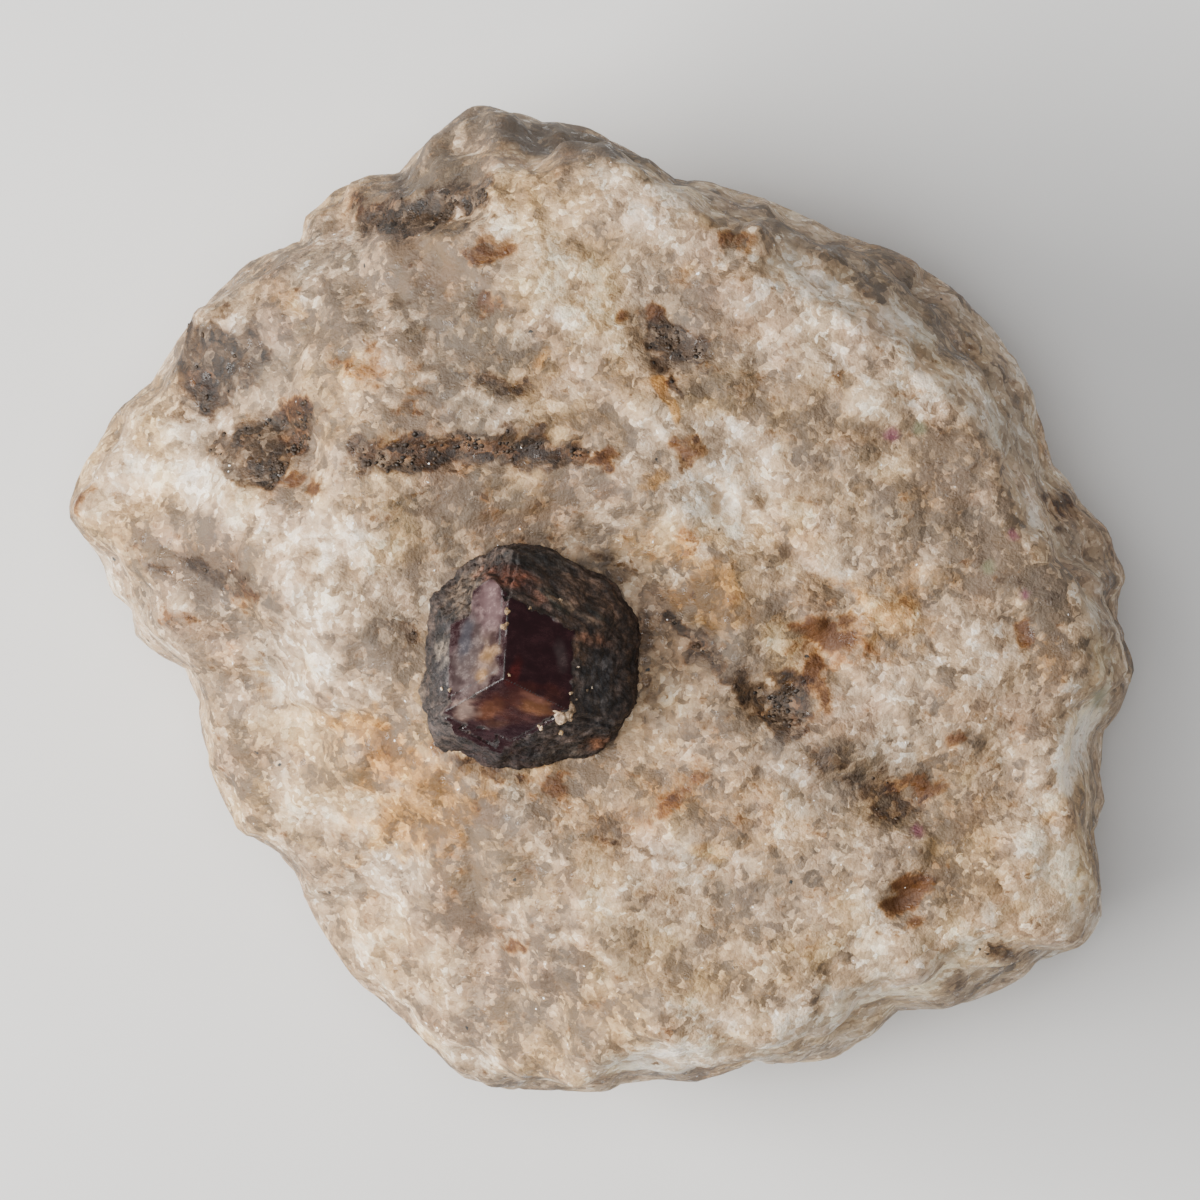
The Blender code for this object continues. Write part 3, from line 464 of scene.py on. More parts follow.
def block_planes():
    """Every plane of the broken block: distance from the heart, and direction."""
    points, ways = side_planes()
    points += [np.array(point, float) for point, _ in FRACTURES]
    ways += [np.array(way, float) for _, way in FRACTURES]
    points.append(np.array([0.0, 0.0, -2.0]))
    ways.append(np.array([0.0, 0.0, -1.0]))
    ways = unit(ways)
    return ((np.array(points) - HEART) * ways).sum(axis=1), ways


def rough_block(directions):
    """Points of the block in each direction: rounded ridges between its faces, then the lumps."""
    reach, ways = block_planes()
    facing = np.maximum(directions @ ways.T, 1e-4)
    nearness = ((facing / reach) ** EDGE_SHARPNESS).sum(axis=1)
    distance = nearness ** (-1.0 / EDGE_SHARPNESS)
    points = HEART + directions * distance[:, None]
    relief = sum(height * chips(points, cell, salt) for cell, height, salt in LUMP_SIZES)
    on_top = smooth_step(directions[:, 2], 0.35, 0.60)
    distance = distance + relief * (1.0 - (1.0 - TOP_RELIEF) * on_top)
    return HEART + directions * distance[:, None]


def block_width(angle):
    """The rough block's greatest width in each compass direction."""
    turn = np.linspace(-math.pi, math.pi, 360, endpoint=False)
    rise = np.radians(np.linspace(-40, 50, 70))
    probe = np.stack(
        [
            np.outer(np.cos(turn), np.cos(rise)),
            np.outer(np.sin(turn), np.cos(rise)),
            np.tile(np.sin(rise), (len(turn), 1)),
        ],
        axis=-1,
    )
    found = rough_block(probe.reshape(-1, 3))
    width = np.hypot(found[:, 0], found[:, 1]).reshape(len(turn), -1).max(axis=1)
    return np.interp(angle, turn, width, period=2 * math.pi)


def fitted_to_outline(points):
    """Moves the outer half of the block sideways until its edge follows the outline."""
    out = np.hypot(points[:, 0], points[:, 1])
    angle = np.arctan2(points[:, 1], points[:, 0])
    width = block_width(angle)
    edge = smooth_step(out / width, 0.90, 0.99)
    wanted = broad_radius(angle) * (1.0 - edge) + outline_radius(angle) * edge
    scale = 1.0 + (wanted / width - 1.0) * smooth_step(out / width, 0.45, 0.95)
    return points * np.stack([scale, scale, np.ones_like(scale)], axis=-1)


def ledge_drop(x, y):
    """How far the stepped corners lower the upper side at each place."""
    drop = np.zeros_like(x)
    for depth, lines in LEDGES:
        inside = np.ones_like(x)
        for px, py, nx, ny, slope in lines:
            beyond = (x - px) * nx + (y - py) * ny
            inside = inside * smooth_step(beyond / math.hypot(nx, ny), -slope / 2, slope / 2)
        drop = drop + depth * inside
    return drop


def mark_height(x, y):
    """Height of the named lumps and pits on the upper side."""
    height = np.zeros_like(x)
    for cx, cy, long, short, degrees, rise in MARKS:
        along, across = turned(x, y, cx, cy, long, short, degrees)
        height = height + rise * np.exp(-1.2 * (along**2 + across**2) ** 1.5)
    return height


def rock_skin(directions):
    """Points of the rock's main form in each direction from its heart."""
    points = fitted_to_outline(rough_block(directions))
    x, y, z = points.T
    upper = smooth_step(z, UPPER_FROM, UPPER_FROM + UPPER_DEPTH)
    points[:, 2] = z + upper * (mark_height(x, y) - ledge_drop(x, y))
    away = np.hypot(x - CRYSTAL_CENTRE[0], y - CRYSTAL_CENTRE[1])
    above = np.maximum(points[:, 2] - SEAT_LEVEL, 0.0)
    points[:, 2] -= above * (1.0 - smooth_step(away, SEAT_RADIUS, SEAT_REACH))
    return points


# ---- The crystal's form ----
def crystal_frame():
    """Rows are the crystal's own cube axes, turned so that its three-fold axis leans as grown."""
    axis = unit([1.0, 1.0, 1.0])
    first = np.array([1.0, 1.0, 0.0])
    first = unit(first - axis * (first @ axis))
    own = np.stack([first, np.cross(axis, first), axis])
    start = math.radians(FIRST_FACE)
    ahead = np.array([math.cos(start), math.sin(start), 0.0])
    upright = np.stack([ahead, np.cross([0.0, 0.0, 1.0], ahead), [0.0, 0.0, 1.0]])
    towards = math.radians(TILT_TOWARDS)
    hinge = Vector((-math.sin(towards), math.cos(towards), 0.0))
    lean = np.array(Matrix.Rotation(math.radians(CRYSTAL_TILT), 3, hinge))
    return lean @ upright.T @ own


def crystal_faces():
    """Directions of the thirty-six faces, and how far each one grew from the centre."""
    rhombs = [w for w in itertools.product((-1, 0, 1), repeat=3) if np.abs(w).sum() == 2]
    trapezoids = [
        w for w in itertools.product((-2, -1, 1, 2), repeat=3) if sorted(np.abs(w)) == [1, 1, 2]
    ]
    lean = [abs(sum(w)) for w in trapezoids]
    grown = {4: CAP_REACH, 2: RING_REACH, 0: BELT_REACH}
    ways = unit(np.array(rhombs + trapezoids, float)) @ crystal_frame().T
    reach = np.array([RHOMB_REACH] * len(rhombs) + [grown[k] for k in lean])
    cells = np.round(ways * 50).astype(np.int64)
    return ways, reach + REACH_SPREAD * (scattered(cells, 5) - 0.5)


# ---- Meshes ----
def new_mesh(name, points, faces, material):
    """An object from points in millimetres and a list of arrays of corner numbers."""
    mesh = bpy.data.meshes.new(name)
    corners = np.concatenate([face.ravel() for face in faces])
    sizes = np.concatenate([np.full(len(face), face.shape[1]) for face in faces])
    starts = np.concatenate([[0], np.cumsum(sizes)[:-1]])
    mesh.vertices.add(len(points))
    mesh.vertices.foreach_set("co", (points * MM).astype(np.float32).ravel())
    mesh.loops.add(len(corners))
    mesh.loops.foreach_set("vertex_index", corners.astype(np.int32))
    mesh.polygons.add(len(sizes))
    mesh.polygons.foreach_set("loop_start", starts.astype(np.int32))
    mesh.update(calc_edges=True)
    mesh.validate()
    mesh.materials.append(material)
    thing = bpy.data.objects.new(name, mesh)
    bpy.context.scene.collection.objects.link(thing)
    return thing


def shade(thing, smooth, edge=180.0):
    """Sets every face smooth or flat, with edges steeper than edge degrees left sharp."""
    mesh = thing.data
    mesh.polygons.foreach_set("use_smooth", np.full(len(mesh.polygons), smooth))
    mesh.set_sharp_from_angle(angle=math.radians(edge))
    mesh.update()


def set_values(thing, name, values):
    """Stores one number for each vertex under a name that the material reads."""
    layer = thing.data.attributes.new(name, "FLOAT", "POINT")
    layer.data.foreach_set("value", np.asarray(values, np.float32))


def set_colours(thing, name, values):
    """The same for one colour for each vertex."""
    layer = thing.data.attributes.new(name, "FLOAT_COLOR", "POINT")
    layer.data.foreach_set("color", np.append(values, np.ones((len(values), 1)), axis=1).ravel())


def stain_and_painted_light_values(points, kind):
    """Strength at each point of one kind of stain, with any painted shadow and light listed under it: the
    strongest of its named ovals.

    The places are pushed about by smooth noise first, so that the ovals run out in ragged tongues, and
    below the level UNFOLD_FROM they spread outward, so that a stain at the rim ends soon after it.
    """
    x, y, z = points.T
    spread = 1.0 + UNFOLD * np.maximum(UNFOLD_FROM - z, 0.0) / np.maximum(np.hypot(x, y), 1.0)
    x, y = x * spread, y * spread
    x = x + 1.0 * soft_noise(points, 2.4, 43) + 1.1 * soft_noise(points, 1.0, 44)
    y = y + 0.9 * soft_noise(points, 2.4, 45) + 1.0 * soft_noise(points, 1.0, 46)
    ragged = 0.9 * soft_noise(points, 1.6, 41) + 0.7 * soft_noise(points, 0.7, 42)
    strength = np.zeros(len(points))
    for cx, cy, long, short, degrees, most in STAINS_AND_PAINTED_LIGHT[kind]:
        along, across = turned(x, y, cx, cy, long, short, degrees)
        inside = 1.5 - np.hypot(along, across) + ragged
        strength = np.maximum(strength, most * smooth_step(inside, 0.0, 1.1))
    return strength * smooth_step(z, *STAIN_RISE)


def tint_values(points, kind):
    """Strength of the small coloured grains at each point."""
    x, y, z = points.T
    x, y = x + 0.5 * soft_noise(points, 0.8, 47), y + 0.5 * soft_noise(points, 0.8, 48)
    strength = np.zeros(len(points))
    for cx, cy, half in TINTS[kind]:
        away = np.hypot(x - cx, y - cy) / half
        strength = np.maximum(strength, 0.8 * smooth_step(1.4 - away, 0.0, 0.8))
    return strength * smooth_step(z, *TINT_RISE)


def cloud(points, size, salt):
    """Four octaves of lattice noise, each half as wide and half as strong, -0.5 to 0.5."""
    octaves = [soft_noise(points, size / 2**k, salt + k) / 2**k for k in range(4)]
    return sum(octaves) / 1.9


def dress(thing, points, tint=0.0):
    """Stores the rock's tones, stain and tint strengths, painted light on the flanks, and the painted
    shadow and light among the stain ovals, on an object's vertices.
    """
    stains_and_painted_light = {kind: stain_and_painted_light_values(points, kind) for kind in STAINS_AND_PAINTED_LIGHT}
    tone = 0.95 * cloud(points, 7.0, 101) + 0.55 * cloud(points, 2.6, 111)
    # White raises the tone; two of its rim ovals are painted light.
    tone = tone + 0.36 * stains_and_painted_light["white"] - 0.30 * stains_and_painted_light["grey"] - 0.34 * stains_and_painted_light["dun"] + 0.22 * tint
    # Painted light: the flanks are made paler, standing for the light that reaches them from all round.
    tone = tone + 0.10 * (1.0 - smooth_step(points[:, 2], *PAINTED_FLANK_LIGHT_RISE))
    warm = smooth_step(cloud(points, 5.5, 121), -0.05, 0.22)
    rosy = smooth_step(cloud(points, 4.2, 141), 0.0, 0.25)
    cool = stains_and_painted_light["grey"] + 0.8 * smooth_step(cloud(points, 6.5, 131), 0.0, 0.25) * (1.0 - warm)
    values = {"tone": tone, "warm": warm, "rosy": rosy, "cool": np.clip(cool, 0.0, 1.0)}
    # The mica values include the painted shadow round the crystal.
    values |= {kind: stains_and_painted_light[kind] for kind in ("ochre", "rust", "mica")}
    values |= {kind: tint_values(points, kind) for kind in TINTS}
    for name, found in values.items():
        set_values(thing, name, found)


# ---- Closed skins ----
def closed_skin(cells, top_way, rises):
    """Directions for a closed skin, with the faces that join them.

    The upper patch is a square grid laid on a disc (u times the root of 1 - v²/2, and the same for v),
    which top_way turns into directions. Rings of half as many points carry its rim down through the
    shares of rises, from its own height to level, foot and last, in degrees, and in to one low point.
    """
    line = np.linspace(-1.0, 1.0, cells + 1)
    u, v = np.meshgrid(line, line, indexing="ij")
    top = top_way(u * np.sqrt(1.0 - v**2 / 2.0), v * np.sqrt(1.0 - u**2 / 2.0)).reshape(-1, 3)
    number = np.arange((cells + 1) ** 2).reshape(cells + 1, cells + 1)
    squares = [number[:-1, :-1], number[1:, :-1], number[1:, 1:], number[:-1, 1:]]
    rim = np.concatenate([number[:-1, 0], number[-1, :-1], number[:0:-1, -1], number[0, :0:-1]])
    upper, middle, after = rim[::2], rim[1::2], np.roll(rim[::2], -1)
    angle = np.arctan2(top[upper, 1], top[upper, 0])
    rise = np.arcsin(top[upper, 2])[None, :]
    rows = []
    for count, end in rises:
        share = np.linspace(0.0, 1.0, count + 1)[1:, None]
        rows.append(rise + (math.radians(end) - rise) * share)
        rise = rows[-1][-1:]
    rise = np.concatenate(rows)
    rings = np.stack([np.cos(angle) * np.cos(rise), np.sin(angle) * np.cos(rise), np.sin(rise)], axis=-1)
    number = len(top) + np.arange(rise.size).reshape(rise.shape)
    ahead = np.roll(number, -1, axis=1)
    pole = len(top) + rise.size
    faces = [
        np.stack(squares, axis=-1).reshape(-1, 4),
        np.stack([number[0], middle, upper], axis=-1),
        np.stack([number[0], ahead[0], middle], axis=-1),
        np.stack([ahead[0], after, middle], axis=-1),
        np.stack([number[1:], ahead[1:], ahead[:-1], number[:-1]], axis=-1).reshape(-1, 4),
        np.stack([np.full_like(number[-1], pole), ahead[-1], number[-1]], axis=-1),
    ]
    return np.concatenate([top, rings.reshape(-1, 3), [[0.0, 0.0, -1.0]]]), faces


# ---- The rock's fine skin ----
def rock_directions():
    """A closed skin whose upper patch is evenly spread in plan out to the rock's edge."""

    def top_way(a, b):
        wide = broad_radius(np.arctan2(b, a).ravel()).reshape(a.shape) * TOP_SHARE
        return unit(np.stack([a * wide, b * wide, np.full_like(a, TOP_RISE)], axis=-1))

    return closed_skin(TOP_CELLS, top_way, [(SIDE_ROWS, FOOT_ANGLE), (FOOT_ROWS, LAST_RING)])


def fine_relief(points, grain):
    """Height of the skin's grains: clusters, single grains and the layers that run down to the right."""
    layered = points @ np.array([[0.55, 0.30, 0.0], [-0.60, 0.95, 0.0], [0.0, 0.0, 1.0]])
    clusters = 0.24 * chips(points, 3.0 * grain, 21) + 0.44 * soft_noise(layered, 3.0 * grain, 24)
    grains = 0.10 * chips(layered, 1.4 * grain, 22) + 0.26 * soft_noise(points, 1.4 * grain, 25)
    return clusters + grains + 0.12 * soft_noise(layered, 0.8 * grain, 26) + 0.04


def skin_points(directions, grain):
    """The rock's finished skin: main form, grains and flat back, running on inside the crystal."""
    points = rock_skin(directions)
    outward = unit(points - HEART)
    edge = smooth_step(np.hypot(directions[:, 0], directions[:, 1]), 0.86, 0.98)
    relief = fine_relief(points, grain) * (1.0 - 0.6 * edge) - SKIN_SUNK
    points = points + outward * relief[:, None]
    below = np.minimum(1.0, HEART[2] / np.maximum(HEART[2] - points[:, 2], 1e-6))
    below = np.where(points[:, 2] < 0.0, below, 1.0)
    return HEART + (points - HEART) * below[:, None]


# ---- The crystal's fine skin ----
def ball_directions(cells):
    """A ball of six square grids, evenly spread by the tangent rule, and the faces that join them."""
    line = np.tan(np.linspace(-math.pi / 4, math.pi / 4, cells + 1))
    u, v = np.meshgrid(line, line, indexing="ij")
    one = np.ones_like(u)
    sides = [(u, v, one), (v, u, -one), (one, u, v), (-one, v, u), (v, one, u), (u, -one, v)]
    grids = [np.stack(side, axis=-1).reshape(-1, 3) for side in sides]
    number = np.arange((cells + 1) ** 2).reshape(cells + 1, cells + 1)
    square = np.stack([number[:-1, :-1], number[1:, :-1], number[1:, 1:], number[:-1, 1:]], axis=-1)
    square = square.reshape(-1, 4)
    faces = np.concatenate([square + k * len(grids[0]) for k in range(6)])
    everything = np.concatenate(grids)
    _, first, same = np.unique(np.round(everything * 1e6), axis=0, return_index=True, return_inverse=True)
    return unit(everything[first]), same.ravel()[faces]


def crystal_directions():
    """A closed skin round the crystal whose upper patch has cells of equal area."""

    def top_way(a, b):
        out = np.hypot(a, b)
        down = 2.0 * np.arcsin(np.minimum(out, 1.0) * math.sin(math.radians(CRYSTAL_DOWN / 2.0)))
        turn = np.arctan2(b, a)
        return np.stack([np.sin(down) * np.cos(turn), np.sin(down) * np.sin(turn), np.cos(down)], axis=-1)

    return closed_skin(CRYSTAL_CELLS, top_way, [(CRYSTAL_ROWS, LAST_RING)])


def crystal_skin(directions):
    """The crystal's skin in each direction: its distance, its lead on the glassy faces, and its flatness.

    Each growth is a soft minimum of its faces' distances, and the skin is the furthest growth. Round
    the named places the dull faces stand further out, so that a glassy face runs on. The second value
    is the lead of the nearest glassy face over the nearest other face, and the third is the lead of
    the nearest face over the next one, all in millimetres.
    """
    ways, reach = crystal_faces()
    glassy = np.argsort(-ways[:12, 2])[:3]
    dull = np.ones(len(reach))
    dull[glassy] = 0.0
    plan = CRYSTAL_CENTRE + directions * (np.mean(reach) + 0.4)
    lift = np.zeros(len(directions))
    for cx, cy, long, short, degrees, most in GLASSY_REACHES:
        along, across = turned(plan[:, 0], plan[:, 1], cx, cy, long, short, degrees)
        lift = lift + most * smooth_step(1.6 - np.hypot(along, across), 0.0, 0.6)
    best = np.zeros(len(directions))
    lead = np.zeros(len(directions))
    flat = np.zeros(len(directions))
    for shift, size in GROWTHS:
        facing = np.maximum(directions @ ways.T, 1e-5)
        facing = facing / (reach * size + ways @ np.array(shift) + lift[:, None] * dull)
        nearest = facing.max(axis=1)
        total = ((facing / nearest[:, None]) ** CRYSTAL_EDGE).sum(axis=1)
        distance = total ** (-1.0 / CRYSTAL_EDGE) / nearest
        others = np.delete(facing, glassy, axis=1).max(axis=1)
        ahead = 1.0 / others - 1.0 / facing[:, glassy].max(axis=1)
        second = np.partition(facing, -2, axis=1)[:, -2]
        past = 1.0 / second - 1.0 / nearest
        further = distance > best
        best = np.where(further, distance, best)
        lead = np.where(further, ahead, lead)
        flat = np.where(further, past, flat)
    return best, lead, flat


def zone_colours(points, zones, colours):
    """Colours with each zone's own laid over them in turn, ragged at its rim."""
    x, y, _ = points.T
    ragged = 0.8 * soft_noise(points, 0.9, 51) + 0.5 * soft_noise(points, 0.4, 52)
    for cx, cy, long, short, degrees, most, colour in zones:
        along, across = turned(x, y, cx, cy, long, short, degrees)
        share = most * smooth_step(1.5 - np.hypot(along, across) + ragged, 0.0, 1.1)
        colours = colours + (np.array(colour) - colours) * share[:, None]
    return colours


# ---- Node materials ----
class Sheet:
    """Adds nodes to one material's node tree."""

    def __init__(self, name):
        self.material = bpy.data.materials.new(name)
        self.material.use_nodes = True
        self.tree = self.material.node_tree
        self.shader = self.tree.nodes["Principled BSDF"]
        self.coords = self.add("ShaderNodeTexCoord").outputs["Object"]

    def add(self, kind, inputs=None, **settings):
        """One node: its settings, then each input linked to a socket or set to a value."""
        node = self.tree.nodes.new(kind)
        for key, value in settings.items():
            setattr(node, key, value)
        for key, value in (inputs or {}).items():
            self.put(node.inputs[key], value)
        return node

    def put(self, socket, value):
        """Links a socket to an output, or sets its value."""
        if isinstance(value, bpy.types.NodeSocket):
            self.tree.links.new(value, socket)
        else:
            socket.default_value = value

    def value(self, name):
        """A number stored on the vertices."""
        return self.add("ShaderNodeAttribute", attribute_name=name).outputs["Fac"]

    def math(self, operation, *terms):
        """One sum."""
        return self.add("ShaderNodeMath", dict(enumerate(terms)), operation=operation).outputs[0]

    def between(self, value, low, high, to_low=0.0, to_high=1.0):
        """An even curve of value from low to high."""
        ends = {"Value": value, "From Min": low, "From Max": high, "To Min": to_low, "To Max": to_high}
        return self.add("ShaderNodeMapRange", ends, interpolation_type="SMOOTHSTEP").outputs[0]

    def mix(self, factor, a, b, blend="MIX"):
        """Two colours mixed."""
        node = self.add("ShaderNodeMix", data_type="RGBA", blend_type=blend)
        self.put(node.inputs[0], factor)
        self.put(node.inputs[6], a)
        self.put(node.inputs[7], b)
        return node.outputs[2]

    def tinted(self, factor, colour, tint):
        """The colour multiplied by a tint, by the factor's share."""
        return self.mix(factor, colour, (*tint, 1.0), "MULTIPLY")

    def ramp(self, value, *stops):
        """A colour ramp from (place, colour) stops."""
        node = self.add("ShaderNodeValToRGB", {"Fac": value})
        points = node.color_ramp.elements
        while len(points) < len(stops):
            points.new(0.5)
        for point, (place, colour) in zip(points, stops):
            point.position = place
            point.color = (*colour, 1.0)
        return node.outputs["Color"]

    def noise(self, coords, size, detail=2.0, roughness=0.5, output="Fac"):
        """Noise whose lumps are size metres wide."""
        inputs = {"Vector": coords, "Scale": 1.0 / size, "Detail": detail, "Roughness": roughness}
        return self.add("ShaderNodeTexNoise", inputs).outputs[output]

    def cells(self, coords, size):
        """Cells size metres wide."""
        return self.add("ShaderNodeTexVoronoi", {"Vector": coords, "Scale": 1.0 / size})

    def parts(self, colour):
        """The three parts of a colour."""
        return self.add("ShaderNodeSeparateColor", {"Color": colour}).outputs

    def clamped(self, value):
        """The value held between 0 and 1."""
        return self.add("ShaderNodeClamp", {"Value": value}).outputs[0]

    def total(self, *terms):
        """The sum of each value times its weight."""
        found = 0.0
        for value, weight in terms:
            found = self.math("MULTIPLY_ADD", value, weight, found)
        return found

    def along_layers(self, coords):
        """Coordinates squeezed across the rock's layers, which run down to the right."""
        layers = {"Vector": coords, "Rotation": (0.0, 0.0, math.radians(28.0)), "Scale": (0.38, 1.0, 1.0)}
        return self.add("ShaderNodeMapping", layers).outputs[0]

    def vectors(self, operation, inputs):
        """One sum of vectors."""
        return self.add("ShaderNodeVectorMath", inputs, operation=operation).outputs[0]

    def warped(self, size, amount):
        """Coordinates pushed about by noise, so that cells get ragged borders."""
        push = self.noise(self.coords, size, output="Color")
        centred = self.vectors("SUBTRACT", {0: push, 1: (0.5, 0.5, 0.5)})
        scaled = self.vectors("SCALE", {0: centred, "Scale": amount})
        return self.vectors("ADD", {0: self.coords, 1: scaled})

    def bump(self, height, strength, distance):
        """A bump from a height."""
        inputs = {"Height": height, "Strength": strength, "Distance": distance}
        return self.add("ShaderNodeBump", inputs).outputs[0]

    def finished(self, inputs):
        """The material, once the shader's inputs are linked or set."""
        for name, value in inputs.items():
            self.put(self.shader.inputs[name], value)
        return self.material


def rock_material(colours, grain):
    """Sugary rock: blended grains of white, cream, beige and grey under ochre, rust and mica staining,
    with painted glints, and painted shadow round the crystal in the mica.
    """
    sheet = Sheet("sugary rock")
    coords, ragged = sheet.coords, sheet.warped(0.0008, 0.0009)
    grains, sugar = sheet.cells(ragged, grain), sheet.cells(ragged, 0.42 * grain)
    grain_part, sugar_part = sheet.parts(grains.outputs["Color"]), sheet.parts(sugar.outputs["Color"])
    patch_part = sheet.parts(sheet.cells(ragged, 2.4 * grain).outputs["Color"])
    cloudy = sheet.noise(coords, 0.0014, 4.0, 0.7)
    fibrous = sheet.noise(sheet.along_layers(ragged), 0.0011, 3.0, 0.65)
    fleck = sheet.between(sugar_part[1], 0.78, 0.90)

    # Grains, from grey to white by their tone, then their yellow, rosy and cool ones.
    tone = sheet.total(
        (sheet.value("tone"), 1.0), (cloudy, 0.62), (fibrous, 0.25), (patch_part[0], 0.28),
        (grain_part[0], 0.34), (sugar_part[0], 0.16), (fleck, 0.26), (1.0, -0.48),
    )
    colour = sheet.ramp(
        tone, (0.12, colours.grey_grain), (0.36, colours.beige_grain), (0.60, colours.cream_grain),
        (0.90, colours.white_grain), (1.00, (1.0, 0.90, 0.76)),
    )
    warm = sheet.total((sheet.value("warm"), 0.68), (patch_part[1], 0.5), (1.0, -0.17))
    colour = sheet.tinted(sheet.clamped(warm), colour, (1.0, 0.91, 0.66))
    rosy = sheet.total((sheet.value("rosy"), 0.7), (grain_part[1], 0.4), (1.0, -0.2))
    colour = sheet.tinted(sheet.clamped(rosy), colour, (1.0, 0.90, 0.86))
    quartz = sheet.between(grain_part[2], 0.62, 0.80, 0.0, 0.45)
    cool = sheet.clamped(sheet.math("ADD", sheet.value("cool"), quartz))
    colour = sheet.tinted(cool, colour, (0.68, 0.71, 0.74))

    # Stains, each bitten into by the grains at its rim; the mica stain also carries the painted shadow
    # round the crystal.
    bitten = sheet.total(
        (cloudy, 1.5), (fibrous, 1.2), (sugar_part[1], 0.3), (grain_part[0], 0.3), (1.0, -1.65)
    )
    ochre = sheet.total((sheet.value("ochre"), 0.95), (bitten, 0.8))
    ochre = sheet.math("MULTIPLY", sheet.between(ochre, 0.1, 0.95), sheet.value("ochre"))
    colour = sheet.tinted(ochre, colour, colours.ochre)
    rust = sheet.math("ADD", sheet.value("rust"), bitten)
    rusty = sheet.between(rust, 0.05, 0.75)
    colour = sheet.tinted(rusty, colour, (0.55, 0.39, 0.225))
    colour = sheet.mix(sheet.between(rust, 0.50, 1.05, 0.0, 0.90), colour, (*colours.rust, 1.0))
    pale = sheet.between(grain_part[1], 0.74, 0.90, 0.0, -0.40)
    # The mica value includes the painted shadow round the crystal, darkened here like mica.
    mica = sheet.total((sheet.value("mica"), 1.0), (bitten, 1.0), (pale, 1.0))
    colour = sheet.tinted(sheet.between(mica, 0.0, 0.80), colour, (0.31, 0.240, 0.172))
    depth = sheet.total((grain_part[2], 0.45), (fibrous, 0.9), (sugar_part[0], 0.25), (1.0, -0.30))
    dark = sheet.ramp(
        depth, (0.32, colours.mica), (0.56, colours.brown_mica), (0.70, (0.100, 0.064, 0.039)),
        (0.88, (0.23, 0.162, 0.104)),
    )
    dark = sheet.tinted(sheet.between(rust, 0.05, 0.75, 0.0, 0.85), dark, (1.25, 0.86, 0.52))
    colour = sheet.mix(sheet.between(mica, 0.45, 1.20, 0.0, 0.90), colour, dark)

    # Small coloured grains, and dark specks and bright painted glints at the middle of chosen cells.
    colour = sheet.mix(sheet.value("magenta"), colour, (0.15, 0.040, 0.062, 1.0))
    colour = sheet.mix(sheet.value("olive"), colour, (0.16, 0.15, 0.08, 1.0))
    for cells, chance, wide, chosen, speck_colour in (
        (grains, grain_part[1], 0.12, 0.975, (0.03, 0.03, 0.028, 1.0)),
        # The bright specks are painted glints, small highlights laid into the colour.
        (sugar, sugar_part[1], 0.14, 0.985, (0.95, 0.93, 0.90, 1.0)),
    ):
        speck = sheet.between(cells.outputs["Distance"], wide, wide * 1.8, 1.0, 0.0)
        rare = sheet.between(chance, chosen, chosen + 0.01)
        colour = sheet.mix(sheet.math("MULTIPLY", speck, rare), colour, speck_colour)
    fine = sheet.noise(coords, 0.0004, 3.0, 0.62)
    relief = sheet.total((cloudy, 0.9), (fibrous, 0.7), (sugar.outputs["Distance"], -0.15), (fine, 0.5))
    return sheet.finished({
        "Base Color": colour,
        "Roughness": sheet.between(sugar_part[2], 0.88, 0.94, 0.60, 0.26),
        "Normal": sheet.bump(relief, 0.42, 0.0006),
        "Subsurface Weight": 0.2,
        "Subsurface Radius": (1.0, 0.75, 0.5),
        "Subsurface Scale": 0.001,
        "IOR": 1.54,
        "Specular IOR Level": 0.3,
    })


def mica_material(colours):
    """Dark mica: near-black and brown flakes with a glossy cleavage and a faint mottle."""
    sheet = Sheet("dark mica")
    mottle = sheet.noise(sheet.coords, 0.0006, 4.0, 0.6)
    shade_of = sheet.total((sheet.value("tint"), 0.9), (mottle, 0.5), (1.0, 0.25))
    return sheet.finished({
        "Base Color": sheet.ramp(shade_of, (0.05, colours.mica), (0.75, colours.brown_mica)),
        "Roughness": sheet.between(mottle, 0.35, 0.65, 0.42, 0.7),
        "IOR": 1.58,
        "Specular IOR Level": 0.3,
    })


def garnet_material():
    """Dark red garnet: glassy upper faces and a dull rind, coloured by the zones stored on its skin,
    among them painted shadow, painted sheen and painted glow.
    """
    sheet = Sheet("garnet")
    coords, polish = sheet.coords, sheet.value("polish")
    tone = sheet.add("ShaderNodeAttribute", attribute_name="tone").outputs["Color"]
    cloudy = sheet.noise(coords, 0.0012, 7.0, 0.72)
    layered = sheet.noise(sheet.along_layers(coords), 0.0008, 6.0, 0.7)
    mottle = sheet.total((cloudy, 1.1), (layered, 0.9), (1.0, -0.5))
    light = sheet.ramp(
        mottle, (0.26, (0.15, 0.14, 0.14)), (0.45, (0.60, 0.58, 0.58)), (0.58, (1.5, 1.40, 1.30)),
        (0.78, (3.8, 3.5, 3.2)),
    )
    even = sheet.mix(sheet.math("MULTIPLY", polish, 0.70), light, (1.0, 1.0, 1.0, 1.0))
    rough_rind = sheet.between(sheet.noise(coords, 0.0004, 4.0, 0.6), 0.3, 0.7, 0.48, 0.80)
    rough_glass = sheet.between(mottle, 0.35, 0.65, 0.12, 0.30)
    rough = sheet.add("ShaderNodeMix", {0: polish, 2: rough_rind, 3: rough_glass}, data_type="FLOAT")
    fine, depth = sheet.noise(coords, 0.0005, 5.0, 0.65), sheet.between(polish, 0.0, 1.0, 0.75, 0.06)
    return sheet.finished({
        "Base Color": sheet.mix(1.0, tone, even, "MULTIPLY"),
        "Roughness": rough.outputs[0],
        "Normal": sheet.bump(fine, depth, 0.0004),
        "IOR": 1.79,
        "Specular IOR Level": 0.2,
    })


